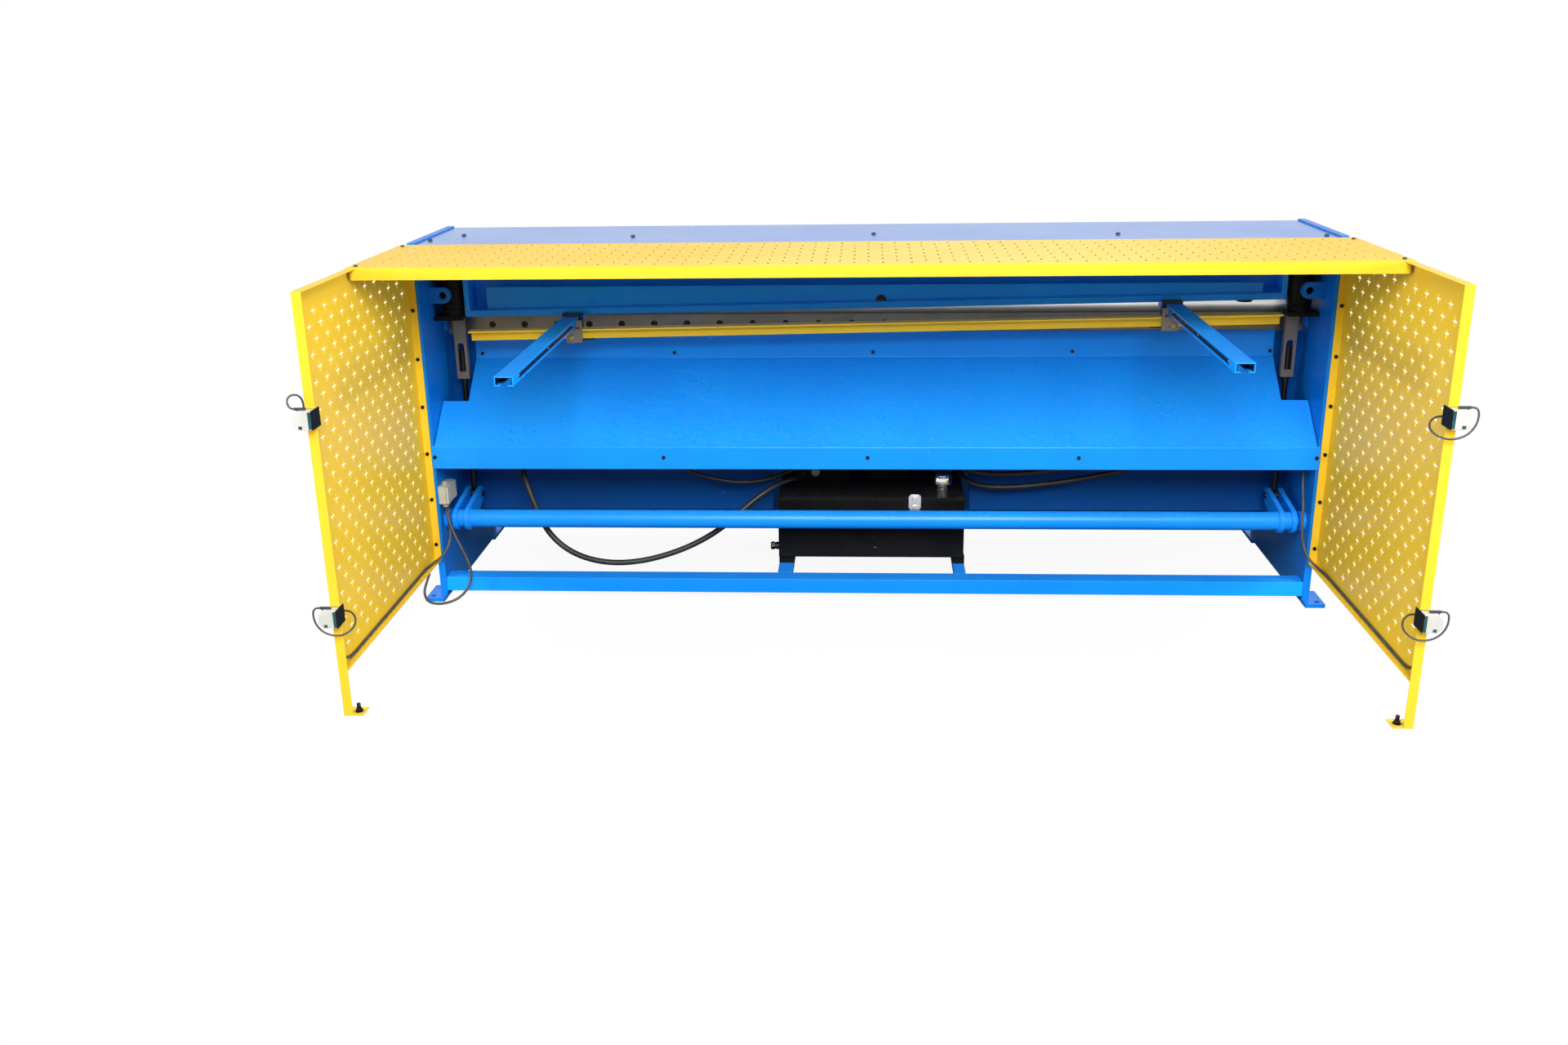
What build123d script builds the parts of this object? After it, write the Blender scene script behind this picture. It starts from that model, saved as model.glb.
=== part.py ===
from build123d import *
import math
import os

# Hydraulic shearing machine, seen from the rear in the photograph. Millimetres, +Z up.
# +X is to the right as seen from the rear, -Y is the rear (chute side), +Y is the operator's side.
# The layout is measured from the rear edges of the side plates (y = 0), the floor (z = 0) and the
# middle of the machine (x = 0). write_parts() then moves it so that the origin is under its middle.

# Overall
HALF_WIDTH = 1330
SIDE_PLATE = 22
INNER = HALF_WIDTH - SIDE_PLATE
TABLE_Z = 838
HEAD_H = 257
TOP_Z = TABLE_Z + HEAD_H
CUT_Y = 262
HOLD_Y = (CUT_Y + 28, CUT_Y + 143)
TOP_DEPTH = HOLD_Y[1] + 10
BED_FRONT_Y = 600
TABLE_NOSE = 40
TABLE_FRONT_Y = BED_FRONT_Y + TABLE_NOSE
NOSE_H = 80
NOSE_SLOPE_H = 60
FRONT_COVER_Y = TOP_DEPTH + 55
FRONT_COVER_FOLD_Z = TOP_Z - 60
FRONT_CORNER_Z = TABLE_Z + 60

# Foot plates and their anchor holes
FOOT_THICK = 12
FOOT_OUT = 36
FOOT_REAR = (-42, 70)
FOOT_FRONT = (BED_FRONT_Y - 60, BED_FRONT_Y + 100)
FOOT_INWARD = 10
ANCHOR_HOLE_R = 9
ANCHOR_X = HALF_WIDTH + 16
ANCHOR_REAR_Y = FOOT_REAR[0] + 22
ANCHOR_FRONT_Y = FOOT_FRONT[1] - 30

# Sheet metal
COVER_SHEET = 5
COVER_DROP = 5
COVER_OVERHANG = 20
GUARD_SHEET = 2.5
GUARD_OUT = 11
GUARD_HALF = HALF_WIDTH + GUARD_OUT
GUARD_DEPTH = 830
GUARD_FLANGE = 24
GUARD_INNER = GUARD_HALF - GUARD_FLANGE
GUARD_BOTTOM_Z = 125
GUARD_TOP_Z = TOP_Z - COVER_DROP
GUARD_FOOT = 50
TOP_GUARD_DEPTH = 473
TOP_GUARD_LIP = 32

# Blades and bed
BLADE_GAP = 0.5
BLADE_THICK = 20
LOWER_BLADE_H = 58
UPPER_BLADE_H = 70
BED_PLATE = 20
BED_BOTTOM_Z = 206
BED_FRONT_BOTTOM_Z = 40
TABLE_PLATE = 20
RIB_THICK = 16
RIB_TO_SIDE = 450
RIB_X = (-HALF_WIDTH + RIB_TO_SIDE, -520, 520, HALF_WIDTH - RIB_TO_SIDE)
RIB_BOTTOM_Z = 300
TANK_WINDOW_TOP_Z = 400
TANK_WINDOW_MARGIN = 22

# Chute
CHUTE_SHEET = 4
CHUTE_LIP_Z = TABLE_Z / 2 - 1
CHUTE_FOLD_Z = CHUTE_LIP_Z + 66
CHUTE_TOP_FOLD_Z = TABLE_Z - 136
CHUTE_TOP_Z = TABLE_Z - 55
CHUTE_NOTCH_Y = CUT_Y - 132
CHUTE_NARROW_HALF = HALF_WIDTH - 102
CHUTE_FOLD_RISE = 2
SHEET_CLEAR = 1.5

# Beam and bars low between the side plates
BEAM_Z = (21, 66)
BEAM_DEPTH = 60
BAR_THICK = 20
BAR_X = ((-278, -232), (268, 304))

# Tank and what stands on it
TANK_X = (-278, 300)
TANK_Y = (130, 430)
TANK_FEET_H = 26
TANK_H = 189
TANK_WALL = 4
LID_THICK = 6
FOOT_PAD = 30
HATCH_R = 45
HATCH_THICK = 4
HATCH_DROP = 97
LEVEL_X = (127, 165)
LEVEL_DEPTH = 12
LEVEL_H = 50
LEVEL_ABOVE_TANK = 19
CAP_R = 30
CAP_H = 50
CAP_NECK_R = 22
CAP_NECK_H = 10
CAP_AT = (236, 250)
DRAIN_R = 12
DRAIN_LEN = 26
DRAIN_AT = (152, 122)
VALVE_X = (-235, -60)
VALVE_Y = (300, 385)
VALVE_H = 70
KNOB_R = 15
KNOB_LEN = 16
KNOB_X = -167
MOTOR_R = 70
MOTOR_X = (-20, 150)
MOTOR_Y = 370
MOTOR_FOOT_H = 12
MOTOR_FOOT_INSET = 20
MOTOR_FOOT_HALF = 42
PUMP_R = 42
PUMP_LEN = 45

# Hold-down beam and front covers
HOLD_Z = (TABLE_Z + 67, TOP_Z - 15)
HOLD_WALL = 12
HOLD_FOOT_R = 25
HOLD_FOOT_Z = TABLE_Z + 17
HOLD_FOOT_MARGIN = 158
HOLD_FOOT_COUNT = 11
FINGER_SHEET = 3
FINGER_Z = (TABLE_Z + 12, TABLE_Z + 122)
FRONT_COVER_SHEET = 4
FRONT_COVER_BOTTOM_Z = TABLE_Z + 97

# Ram. Its lower edge rises to the right by RAKE.
RAKE = 0.0165
RAM_PLATE_Y = (CUT_Y - 46, CUT_Y - 21)
RAM_BOTTOM_Z = TABLE_Z + 38
RAM_TOP_Z = TOP_Z - COVER_DROP - COVER_SHEET - 13
RAM_REAR_Y = CUT_Y - 130
RAM_FLANGE = 20
RAM_FLANGE_HALF = HALF_WIDTH - 115
RAM_RIB_TO_SIDE = 123
RAM_RIB_X = HALF_WIDTH - RAM_RIB_TO_SIDE
RAM_RIB_THICK = 16
STIFFENER_TO_SIDE = 180
STIFFENER_Y = (CUT_Y - 112, CUT_Y - 104)
STIFFENER_TOP_Z = TABLE_Z + 106
UPPER_BLADE_DROP = 4
GUIDE_GAP = 0.3
GUIDE_THICK = 8
GUIDE_BOTTOM_Z = TABLE_Z - 38
RAM_STROKE = 60

# Cylinders at the ends of the ram
END_X = HALF_WIDTH - 74
CYL_Y = CUT_Y - 112
CYL_R = 34
CYL_H = 125
CYL_ARM_GAP = 7
CYL_TOP_Z = RAM_TOP_Z - RAM_FLANGE - RAM_STROKE - CYL_ARM_GAP
CYL_Z = (CYL_TOP_Z - CYL_H, CYL_TOP_Z)
CYL_FLOOR = 15
ROD_R = 18
ROD_FLOOR_GAP = 8
ROD_BOTTOM_Z = CYL_Z[0] + CYL_FLOOR + RAM_STROKE + ROD_FLOOR_GAP
ROD_FIT = 0.05
SHELF_THICK = 12
SHELF_MARGIN = 1
LUG_Y = (CYL_Y - CYL_R - 28, CYL_Y - CYL_R - 12)
LUG_Z = RAM_BOTTOM_Z + 52
LUG_R = 24
LUG_OUT = 10
LUG_HOLE_R = 11
ARM_GAP_TO_SIDE = 11

# Links from the ram to the torsion shaft
LINK_W = 38
LINK_THICK = 20
LINK_BOTTOM_Z = TABLE_Z - 186
LINK_SLOT_W = 20
LINK_SLOT_Z = (LINK_BOTTOM_Z + 22, LINK_BOTTOM_Z + 112)
LINK_ROD_R = 8
LINK_ROD_TOP_Z = LINK_BOTTOM_Z + 92
LINK_NUT_R = 9.5
LINK_NUT_H = 12
EYE_R = 21
EYE_W = 14
PIN_R = 10
PIN_SLOT_PLAY = 6
PIN_PLAY = 0.8
PIN_HEAD = 4

# Torsion shaft
SHAFT_Y = 60
SHAFT_Z = 240
SHAFT_R = 28
SHAFT_WALL = 8
LEVER_RISE = 35
LEVER_THICK = 14
LEVER_GAP = 4
LEVER_HUB_R = 36
LEVER_END_R = 24
JOURNAL_R = 15
JOURNAL_FIT = 0.05
JOURNAL_END_GAP = 2
BEARING_R = 30
BEARING_W = 18

# Back gauge on its two rails
RAIL_TO_SIDE = 442
RAIL_X = HALF_WIDTH - RAIL_TO_SIDE
RAIL_W = 48
RAIL_H = 25
RAIL_WALL = 3
RAIL_LIP = 12
RAIL_REAR_Y = -710
RAIL_DROP = 0.5
RAIL_SLOT_Y = (RAIL_REAR_Y + 60, 40)
RAIL_SLOT_EDGE = 6
GAUGE_HALF = HALF_WIDTH - 140
GAUGE_LEG = 40
GAUGE_LEG_T = 5
GAUGE_LEG_DOWN = 34
GAUGE_TO_RAM = 156
GAUGE_REAR_Y = RAM_PLATE_Y[0] - GAUGE_TO_RAM
GAUGE_RAIL_GAP = 5.5
GAUGE_TOP_Z = RAM_BOTTOM_Z - RAIL_DROP - RAIL_H - GAUGE_RAIL_GAP
CLAMP_GAP = 0.5
CLAMP_THICK = 10
CLAMP_STRAP = 8
CLAMP_DEPTH = 25
CLAMP_TAB = 34
CLAMP_TAB_T = 8
CLAMP_BOTTOM_DROP = 40

# Small fittings
SENSOR = 46
SENSOR_DEPTH = 30
SENSOR_PLATE = 3
SENSOR_LEG = 20
SENSOR_PLUG = 6
SENSOR_PLUG_OUT = (-8, 20)
SENSOR_DOWN = {"left": 49, "right": 48}
SENSOR_UP = {"left": 155, "right": 167}
JBOX_Y = (0, 90)
JBOX_Z = (304, 359)
JBOX_DEPTH = 30
GLAND_R = 9
GLAND_H = 12
INLET_Y = (40, 80)
INLET_Z = (CHUTE_LIP_Z + 7, CHUTE_LIP_Z + 47)
FITTING_R = 13
FITTING_LEN = 26

# Hoses and cables
HOSE_D = 18
THIN_HOSE_D = 12
CABLE_D = 8
LEAD_D = 5


def box(x, y, z):
    """A block between two limits on each axis."""
    size = [hi - lo for lo, hi in (x, y, z)]
    middle = [(lo + hi) / 2 for lo, hi in (x, y, z)]
    return Pos(*middle) * Box(*size)


def outline_yz(points, x_low, x_high):
    """A plate that lies across the machine, from its outline seen from the side."""
    face = Plane.YZ * make_face(Polyline(*points, close=True))
    return Pos(x_low, 0, 0) * extrude(face, x_high - x_low, dir=(1, 0, 0))


def outline_xz(points, y_low, y_high):
    """A plate that faces the rear, from its outline seen from the rear."""
    face = Plane.XZ * make_face(Polyline(*points, close=True))
    return Pos(0, y_low, 0) * extrude(face, y_high - y_low, dir=(0, 1, 0))


def disc(centre, radius, length, axis):
    """A cylinder that starts at centre and runs along axis."""
    return Plane(origin=centre, z_dir=axis) * Cylinder(
        radius, length, align=(Align.CENTER, Align.CENTER, Align.MIN)
    )


def raked(half, z_low, height, y_low, y_high):
    """A bar whose lower and upper edges rise to the right with the ram's rake."""
    rise = RAKE * half
    points = [
        (-half, z_low - rise),
        (half, z_low + rise),
        (half, z_low + rise + height),
        (-half, z_low - rise + height),
    ]
    return outline_xz(points, y_low, y_high)


def cord(name, points, diameter):
    """A round tube of straight runs and arcs, each arc as large as its two runs allow."""
    spots = [Vector(*p) for p in points]
    radii = []
    for before, at, after in zip(spots, spots[1:], spots[2:]):
        turn = (at - before).get_angle(after - at)
        run = min((at - before).length, (after - at).length)
        radii.append(0.45 * run / math.tan(math.radians(turn) / 2))
    path = FilletPolyline(*spots, radius=radii)
    tube = sweep(Plane(origin=path @ 0, z_dir=path % 0) * Circle(diameter / 2), path=path)
    whole = math.pi * diameter**2 / 4 * path.length
    print(name, "radii", [round(r) for r in radii], "length", round(path.length), "volume ratio",
          round(tube.volume / whole, 4))
    return tube


def both_sides(make):
    """One solid at each end of the machine."""
    return [make(-1), make(1)]


def span(side, low, high):
    """An x range on one side of the machine, with low and high measured from the middle."""
    return (side * low, side * high) if side > 0 else (side * high, side * low)


# Frame


def side_plate(side):
    points = [
        (0, 0),
        (0, TOP_Z),
        (TOP_DEPTH, TOP_Z),
        (FRONT_COVER_Y, FRONT_COVER_FOLD_Z),
        (FRONT_COVER_Y, FRONT_CORNER_Z),
        (TABLE_FRONT_Y, TABLE_Z),
        (TABLE_FRONT_Y, TABLE_Z - NOSE_H),
        (BED_FRONT_Y, TABLE_Z - NOSE_H - NOSE_SLOPE_H),
        (BED_FRONT_Y, 0),
    ]
    x_low, x_high = span(side, INNER, HALF_WIDTH)
    return outline_yz(points, x_low, x_high)


def foot_plates():
    feet = []
    for side in (-1, 1):
        outer = HALF_WIDTH + FOOT_OUT
        rear = box(span(side, INNER, outer), FOOT_REAR, (0, FOOT_THICK))
        rear -= box(span(side, INNER - 1, HALF_WIDTH), (0, FOOT_REAR[1] + 1), (0, FOOT_THICK))
        front = box(span(side, INNER - FOOT_INWARD, outer), FOOT_FRONT, (0, FOOT_THICK))
        front -= box(span(side, INNER, HALF_WIDTH), (FOOT_FRONT[0] - 1, BED_FRONT_Y), (0, FOOT_THICK))
        for foot, y in ((rear, ANCHOR_REAR_Y), (front, ANCHOR_FRONT_Y)):
            feet.append(foot - disc((side * ANCHOR_X, y, -1), ANCHOR_HOLE_R, FOOT_THICK + 2, (0, 0, 1)))
    return feet


def top_cover():
    z = (TOP_Z - COVER_DROP - COVER_SHEET, TOP_Z - COVER_DROP)
    return box((-INNER, INNER), (-COVER_OVERHANG, TOP_DEPTH), z)


def front_cover():
    top = TOP_Z - COVER_DROP - COVER_SHEET
    back = FRONT_COVER_Y - FRONT_COVER_SHEET
    points = [
        (TOP_DEPTH - FRONT_COVER_SHEET, top),
        (TOP_DEPTH, top),
        (FRONT_COVER_Y, FRONT_COVER_FOLD_Z),
        (FRONT_COVER_Y, FRONT_COVER_BOTTOM_Z),
        (back, FRONT_COVER_BOTTOM_Z),
        (back, FRONT_COVER_FOLD_Z),
    ]
    return outline_yz(points, -INNER, INNER)


def top_guard():
    rear = -TOP_GUARD_DEPTH
    top = (GUARD_TOP_Z, GUARD_TOP_Z + GUARD_SHEET)
    sheet = box((-GUARD_HALF, GUARD_HALF), (rear, -COVER_OVERHANG), top)
    lip_z = (top[1] - TOP_GUARD_LIP, GUARD_TOP_Z)
    lip_half = GUARD_INNER - SHEET_CLEAR
    return sheet + box((-lip_half, lip_half), (rear, rear + GUARD_SHEET), lip_z)


def side_guard(side):
    rear = -GUARD_DEPTH
    outer = span(side, GUARD_HALF - GUARD_SHEET, GUARD_HALF)
    flange = span(side, GUARD_INNER, GUARD_HALF)
    tall = (GUARD_BOTTOM_Z, GUARD_TOP_Z)
    panel = box(outer, (rear, 0), tall)
    panel += box(flange, (rear, 0), (GUARD_TOP_Z - GUARD_SHEET, GUARD_TOP_Z))
    panel += box(flange, (rear, 0), (GUARD_BOTTOM_Z, GUARD_BOTTOM_Z + GUARD_SHEET))
    panel += box(flange, (-GUARD_SHEET, 0), tall)
    post = box(flange, (rear, rear + GUARD_SHEET), (0, GUARD_TOP_Z))
    post += box(outer, (rear, rear + GUARD_FLANGE), (0, GUARD_BOTTOM_Z + GUARD_SHEET))
    foot = box(span(side, GUARD_HALF - GUARD_FOOT, GUARD_HALF), (rear, rear + GUARD_FOOT), (0, GUARD_SHEET))
    return panel + post + foot


def chute():
    rear = CUT_Y - CHUTE_SHEET
    points = [
        (-CHUTE_SHEET, CHUTE_LIP_Z),
        (-CHUTE_SHEET, CHUTE_FOLD_Z + CHUTE_FOLD_RISE),
        (rear, CHUTE_TOP_FOLD_Z + CHUTE_FOLD_RISE),
        (rear, CHUTE_TOP_Z),
        (CUT_Y, CHUTE_TOP_Z),
        (CUT_Y, CHUTE_TOP_FOLD_Z),
        (0, CHUTE_FOLD_Z),
        (0, CHUTE_LIP_Z),
    ]
    lip_half = GUARD_INNER - SHEET_CLEAR
    sheet = outline_yz(points, -lip_half, lip_half)
    for side in (-1, 1):
        lip_end = span(side, INNER - SHEET_CLEAR, HALF_WIDTH)
        sheet -= box(lip_end, (0, CUT_Y), (CHUTE_LIP_Z, CHUTE_TOP_Z))
        sheet -= box(
            span(side, CHUTE_NARROW_HALF, HALF_WIDTH), (CHUTE_NOTCH_Y, CUT_Y), (CHUTE_LIP_Z, CHUTE_TOP_Z)
        )
    return sheet


# Bed, table and lower blade


def bed_rear_plate():
    top = TABLE_Z - LOWER_BLADE_H
    plate = box((-INNER, INNER), (CUT_Y, CUT_Y + BED_PLATE), (BED_BOTTOM_Z, top))
    window = (TANK_X[0] - TANK_WINDOW_MARGIN, TANK_X[1] + TANK_WINDOW_MARGIN)
    return plate - box(window, (CUT_Y, CUT_Y + BED_PLATE), (BED_BOTTOM_Z, TANK_WINDOW_TOP_Z))


def bed_front_plate():
    z = (BED_FRONT_BOTTOM_Z, TABLE_Z - TABLE_PLATE)
    return box((-INNER, INNER), (BED_FRONT_Y - BED_PLATE, BED_FRONT_Y), z)


def bed_ribs():
    y = (CUT_Y + BED_PLATE, BED_FRONT_Y - BED_PLATE)
    z = (RIB_BOTTOM_Z, TABLE_Z - TABLE_PLATE)
    return [box((x - RIB_THICK / 2, x + RIB_THICK / 2), y, z) for x in RIB_X]


def table_top():
    return box((-INNER, INNER), (CUT_Y + BLADE_THICK, TABLE_FRONT_Y), (TABLE_Z - TABLE_PLATE, TABLE_Z))


def lower_blade():
    return box((-INNER, INNER), (CUT_Y, CUT_Y + BLADE_THICK), (TABLE_Z - LOWER_BLADE_H, TABLE_Z))


def bottom_beam():
    return box((-INNER, INNER), (0, BEAM_DEPTH), BEAM_Z)


def tank_bars():
    z = (BEAM_Z[1] - BAR_THICK, BEAM_Z[1])
    return [box(x, (BEAM_DEPTH, BED_FRONT_Y - BED_PLATE), z) for x in BAR_X]


# Tank and hydraulic unit

TANK_Z = BEAM_Z[1] + TANK_FEET_H
LID_Z = TANK_Z + TANK_H
LID_TOP_Z = LID_Z + LID_THICK


def tank_feet():
    feet = []
    for x in BAR_X:
        for y in (TANK_Y[0] + FOOT_PAD, TANK_Y[1] - FOOT_PAD):
            feet.append(box(x, (y - FOOT_PAD / 2, y + FOOT_PAD / 2), (BEAM_Z[1], TANK_Z)))
    return feet


def oil_tank():
    outer = box(TANK_X, TANK_Y, (TANK_Z, LID_Z))
    inner_x = (TANK_X[0] + TANK_WALL, TANK_X[1] - TANK_WALL)
    inner_y = (TANK_Y[0] + TANK_WALL, TANK_Y[1] - TANK_WALL)
    return outer - box(inner_x, inner_y, (TANK_Z + TANK_WALL, LID_Z))


def tank_lid():
    return box(TANK_X, TANK_Y, (LID_Z, LID_TOP_Z))


def tank_hatch():
    middle = (TANK_X[0] + TANK_X[1]) / 2
    return disc((middle, TANK_Y[0], LID_Z - HATCH_DROP), HATCH_R, HATCH_THICK, (0, -1, 0))


def level_gauge():
    top = LID_Z + LEVEL_ABOVE_TANK
    return box(LEVEL_X, (TANK_Y[0] - LEVEL_DEPTH, TANK_Y[0]), (top - LEVEL_H, top))


def filler_cap():
    x, y = CAP_AT
    neck = disc((x, y, LID_TOP_Z), CAP_NECK_R, CAP_NECK_H, (0, 0, 1))
    return neck + disc((x, y, LID_TOP_Z + CAP_NECK_H), CAP_R, CAP_H - CAP_NECK_H, (0, 0, 1))


def drain_plug():
    y, z = DRAIN_AT
    return disc((TANK_X[0], y, z), DRAIN_R, DRAIN_LEN, (-1, 0, 0))


def valve_block():
    return box(VALVE_X, VALVE_Y, (LID_TOP_Z, LID_TOP_Z + VALVE_H))


def valve_knob():
    return disc((KNOB_X, VALVE_Y[0], LID_TOP_Z + VALVE_H / 2), KNOB_R, KNOB_LEN, (0, -1, 0))


def pump_motor():
    axis_z = LID_TOP_Z + MOTOR_FOOT_H + MOTOR_R
    motor = disc((MOTOR_X[0], MOTOR_Y, axis_z), MOTOR_R, MOTOR_X[1] - MOTOR_X[0], (1, 0, 0))
    motor += disc((MOTOR_X[1], MOTOR_Y, axis_z), PUMP_R, PUMP_LEN, (1, 0, 0))
    foot_x = (MOTOR_X[0] + MOTOR_FOOT_INSET, MOTOR_X[1] - MOTOR_FOOT_INSET)
    foot_y = (MOTOR_Y - MOTOR_FOOT_HALF, MOTOR_Y + MOTOR_FOOT_HALF)
    return motor + box(foot_x, foot_y, (LID_TOP_Z, axis_z))


# Hold-down beam, finger guard and guides


def hold_down_beam():
    beam = box((-INNER, INNER), HOLD_Y, HOLD_Z)
    inner_y = (HOLD_Y[0] + HOLD_WALL, HOLD_Y[1] - HOLD_WALL)
    return beam - box((-INNER, INNER), inner_y, (HOLD_Z[0] + HOLD_WALL, HOLD_Z[1] - HOLD_WALL))


def hold_down_feet():
    middle = (HOLD_Y[0] + HOLD_Y[1]) / 2
    start = HOLD_FOOT_MARGIN - INNER
    pitch = -2 * start / (HOLD_FOOT_COUNT - 1)
    drop = HOLD_Z[0] - HOLD_FOOT_Z
    return [
        disc((start + i * pitch, middle, HOLD_FOOT_Z), HOLD_FOOT_R, drop, (0, 0, 1))
        for i in range(HOLD_FOOT_COUNT)
    ]


def finger_guard():
    return box((-INNER, INNER), (HOLD_Y[1], HOLD_Y[1] + FINGER_SHEET), FINGER_Z)


def guide_strip(side):
    return box(span(side, INNER - GUIDE_THICK, INNER), RAM_PLATE_Y, (GUIDE_BOTTOM_Z, RAM_TOP_Z))


# Ram and upper blade

RAM_HALF = INNER - GUIDE_THICK - GUIDE_GAP


def ram_beam():
    rise = RAKE * RAM_HALF
    points = [
        (-RAM_HALF, RAM_BOTTOM_Z - rise),
        (RAM_HALF, RAM_BOTTOM_Z + rise),
        (RAM_HALF, RAM_TOP_Z),
        (-RAM_HALF, RAM_TOP_Z),
    ]
    beam = outline_xz(points, *RAM_PLATE_Y)
    beam += raked(RAM_FLANGE_HALF, RAM_BOTTOM_Z, RAM_FLANGE, RAM_REAR_Y, RAM_PLATE_Y[0])
    flange_x = (-RAM_FLANGE_HALF, RAM_FLANGE_HALF)
    beam += box(flange_x, (RAM_REAR_Y, RAM_PLATE_Y[0]), (RAM_TOP_Z - RAM_FLANGE, RAM_TOP_Z))
    for side in (-1, 1):
        rib_low = RAM_BOTTOM_Z + side * RAKE * RAM_RIB_X + RAM_FLANGE / 2
        rib_x = (side * RAM_RIB_X - RAM_RIB_THICK / 2, side * RAM_RIB_X + RAM_RIB_THICK / 2)
        beam += box(rib_x, (RAM_REAR_Y, RAM_PLATE_Y[0]), (rib_low, RAM_TOP_Z))
    return beam + stiffener()


def stiffener():
    """The plate that stands on the ram's lower flange, with a level upper edge."""
    half = HALF_WIDTH - STIFFENER_TO_SIDE
    rise = RAKE * half
    foot = RAM_BOTTOM_Z + RAM_FLANGE / 2
    points = [(-half, foot - rise), (half, foot + rise), (half, STIFFENER_TOP_Z), (-half, STIFFENER_TOP_Z)]
    return outline_xz(points, *STIFFENER_Y)


def upper_blade():
    return raked(
        RAM_HALF, RAM_BOTTOM_Z - UPPER_BLADE_DROP, UPPER_BLADE_H, RAM_PLATE_Y[1], CUT_Y - BLADE_GAP
    )


def ram_arm(side):
    x = span(side, RAM_FLANGE_HALF, INNER - ARM_GAP_TO_SIDE)
    return box(x, (CYL_Y - CYL_R, RAM_PLATE_Y[0]), (RAM_TOP_Z - RAM_FLANGE, RAM_TOP_Z))


def piston_rod(side):
    length = RAM_TOP_Z - RAM_FLANGE - ROD_BOTTOM_Z
    return disc((side * END_X, CYL_Y, ROD_BOTTOM_Z), ROD_R, length, (0, 0, 1))


def cylinder(side):
    body = disc((side * END_X, CYL_Y, CYL_Z[0]), CYL_R, CYL_Z[1] - CYL_Z[0], (0, 0, 1))
    bore_z = CYL_Z[0] + CYL_FLOOR
    return body - disc((side * END_X, CYL_Y, bore_z), ROD_R + ROD_FIT, CYL_Z[1] - bore_z, (0, 0, 1))


def cylinder_shelf(side):
    x = span(side, END_X - CYL_R - SHELF_MARGIN, INNER)
    y = (CYL_Y - CYL_R - SHELF_MARGIN, CYL_Y + CYL_R + SHELF_MARGIN)
    return box(x, y, (CYL_Z[0] - SHELF_THICK, CYL_Z[0]))


def end_lug(side):
    middle = END_X + LUG_OUT
    plate = box(span(side, middle, INNER), LUG_Y, (LUG_Z - LUG_R, LUG_Z + LUG_R))
    thick = LUG_Y[1] - LUG_Y[0]
    plate += disc((side * middle, LUG_Y[0], LUG_Z), LUG_R, thick, (0, 1, 0))
    return plate - disc((side * middle, LUG_Y[0] - 1, LUG_Z), LUG_HOLE_R, thick + 2, (0, 1, 0))


# Links and torsion shaft

LINK_Y = RAM_PLATE_Y[0] - LINK_THICK / 2
PIN_Y = LINK_Y
PIN_Z = SHAFT_Z + LEVER_RISE
LEVER_LENGTH = math.hypot(PIN_Y - SHAFT_Y, LEVER_RISE)
SHAFT_TURN = math.asin(LEVER_RISE / LEVER_LENGTH) - math.asin((LEVER_RISE - RAM_STROKE) / LEVER_LENGTH)


def link_bar(side):
    x = (side * END_X - LINK_W / 2, side * END_X + LINK_W / 2)
    y = (RAM_PLATE_Y[0] - LINK_THICK, RAM_PLATE_Y[0])
    bar = box(x, y, (LINK_BOTTOM_Z, RAM_TOP_Z - RAM_FLANGE))
    half = LINK_SLOT_W / 2
    slot_x = (side * END_X - half, side * END_X + half)
    bar -= box(slot_x, y, (LINK_SLOT_Z[0], LINK_SLOT_Z[1] - half))
    bar -= disc((side * END_X, y[0], LINK_SLOT_Z[1] - half), half, LINK_THICK, (0, 1, 0))
    return bar - disc((side * END_X, LINK_Y, LINK_BOTTOM_Z - 1), LINK_ROD_R, LINK_THICK * 2, (0, 0, 1))


def link_rod(side):
    x = side * END_X
    rod = disc((x, LINK_Y, PIN_Z), LINK_ROD_R, LINK_ROD_TOP_Z - PIN_Z, (0, 0, 1))
    for z in (LINK_BOTTOM_Z - LINK_NUT_H, LINK_SLOT_Z[0]):
        rod += disc((x, LINK_Y, z), LINK_NUT_R, LINK_NUT_H, (0, 0, 1))
    rod += disc((x - EYE_W / 2, PIN_Y, PIN_Z), EYE_R, EYE_W, (1, 0, 0))
    r = PIN_R + PIN_PLAY
    slot = box((x - EYE_W, x + EYE_W), (PIN_Y - PIN_SLOT_PLAY, PIN_Y + PIN_SLOT_PLAY), (PIN_Z - r, PIN_Z + r))
    for y in (PIN_Y - PIN_SLOT_PLAY, PIN_Y + PIN_SLOT_PLAY):
        slot += disc((x - EYE_W, y, PIN_Z), r, 2 * EYE_W, (1, 0, 0))
    return rod - slot


LEVER_OUTER = END_X + EYE_W / 2 + LEVER_GAP + LEVER_THICK


def torsion_tube():
    """The tube, and the journal that closes each end and turns in the side plate's bearing."""
    axis = (1, 0, 0)
    tube = disc((-LEVER_OUTER, SHAFT_Y, SHAFT_Z), SHAFT_R, 2 * LEVER_OUTER, axis)
    tube -= disc((-LEVER_OUTER, SHAFT_Y, SHAFT_Z), SHAFT_R - SHAFT_WALL, 2 * LEVER_OUTER, axis)
    for side in (-1, 1):
        plug_low, plug_high = span(side, LEVER_OUTER - LEVER_THICK, LEVER_OUTER)
        tube += disc((plug_low, SHAFT_Y, SHAFT_Z), SHAFT_R - SHAFT_WALL, plug_high - plug_low, axis)
        low, high = span(side, LEVER_OUTER - LEVER_THICK, INNER - JOURNAL_END_GAP)
        tube += disc((low, SHAFT_Y, SHAFT_Z), JOURNAL_R, high - low, axis)
    return tube


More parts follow.
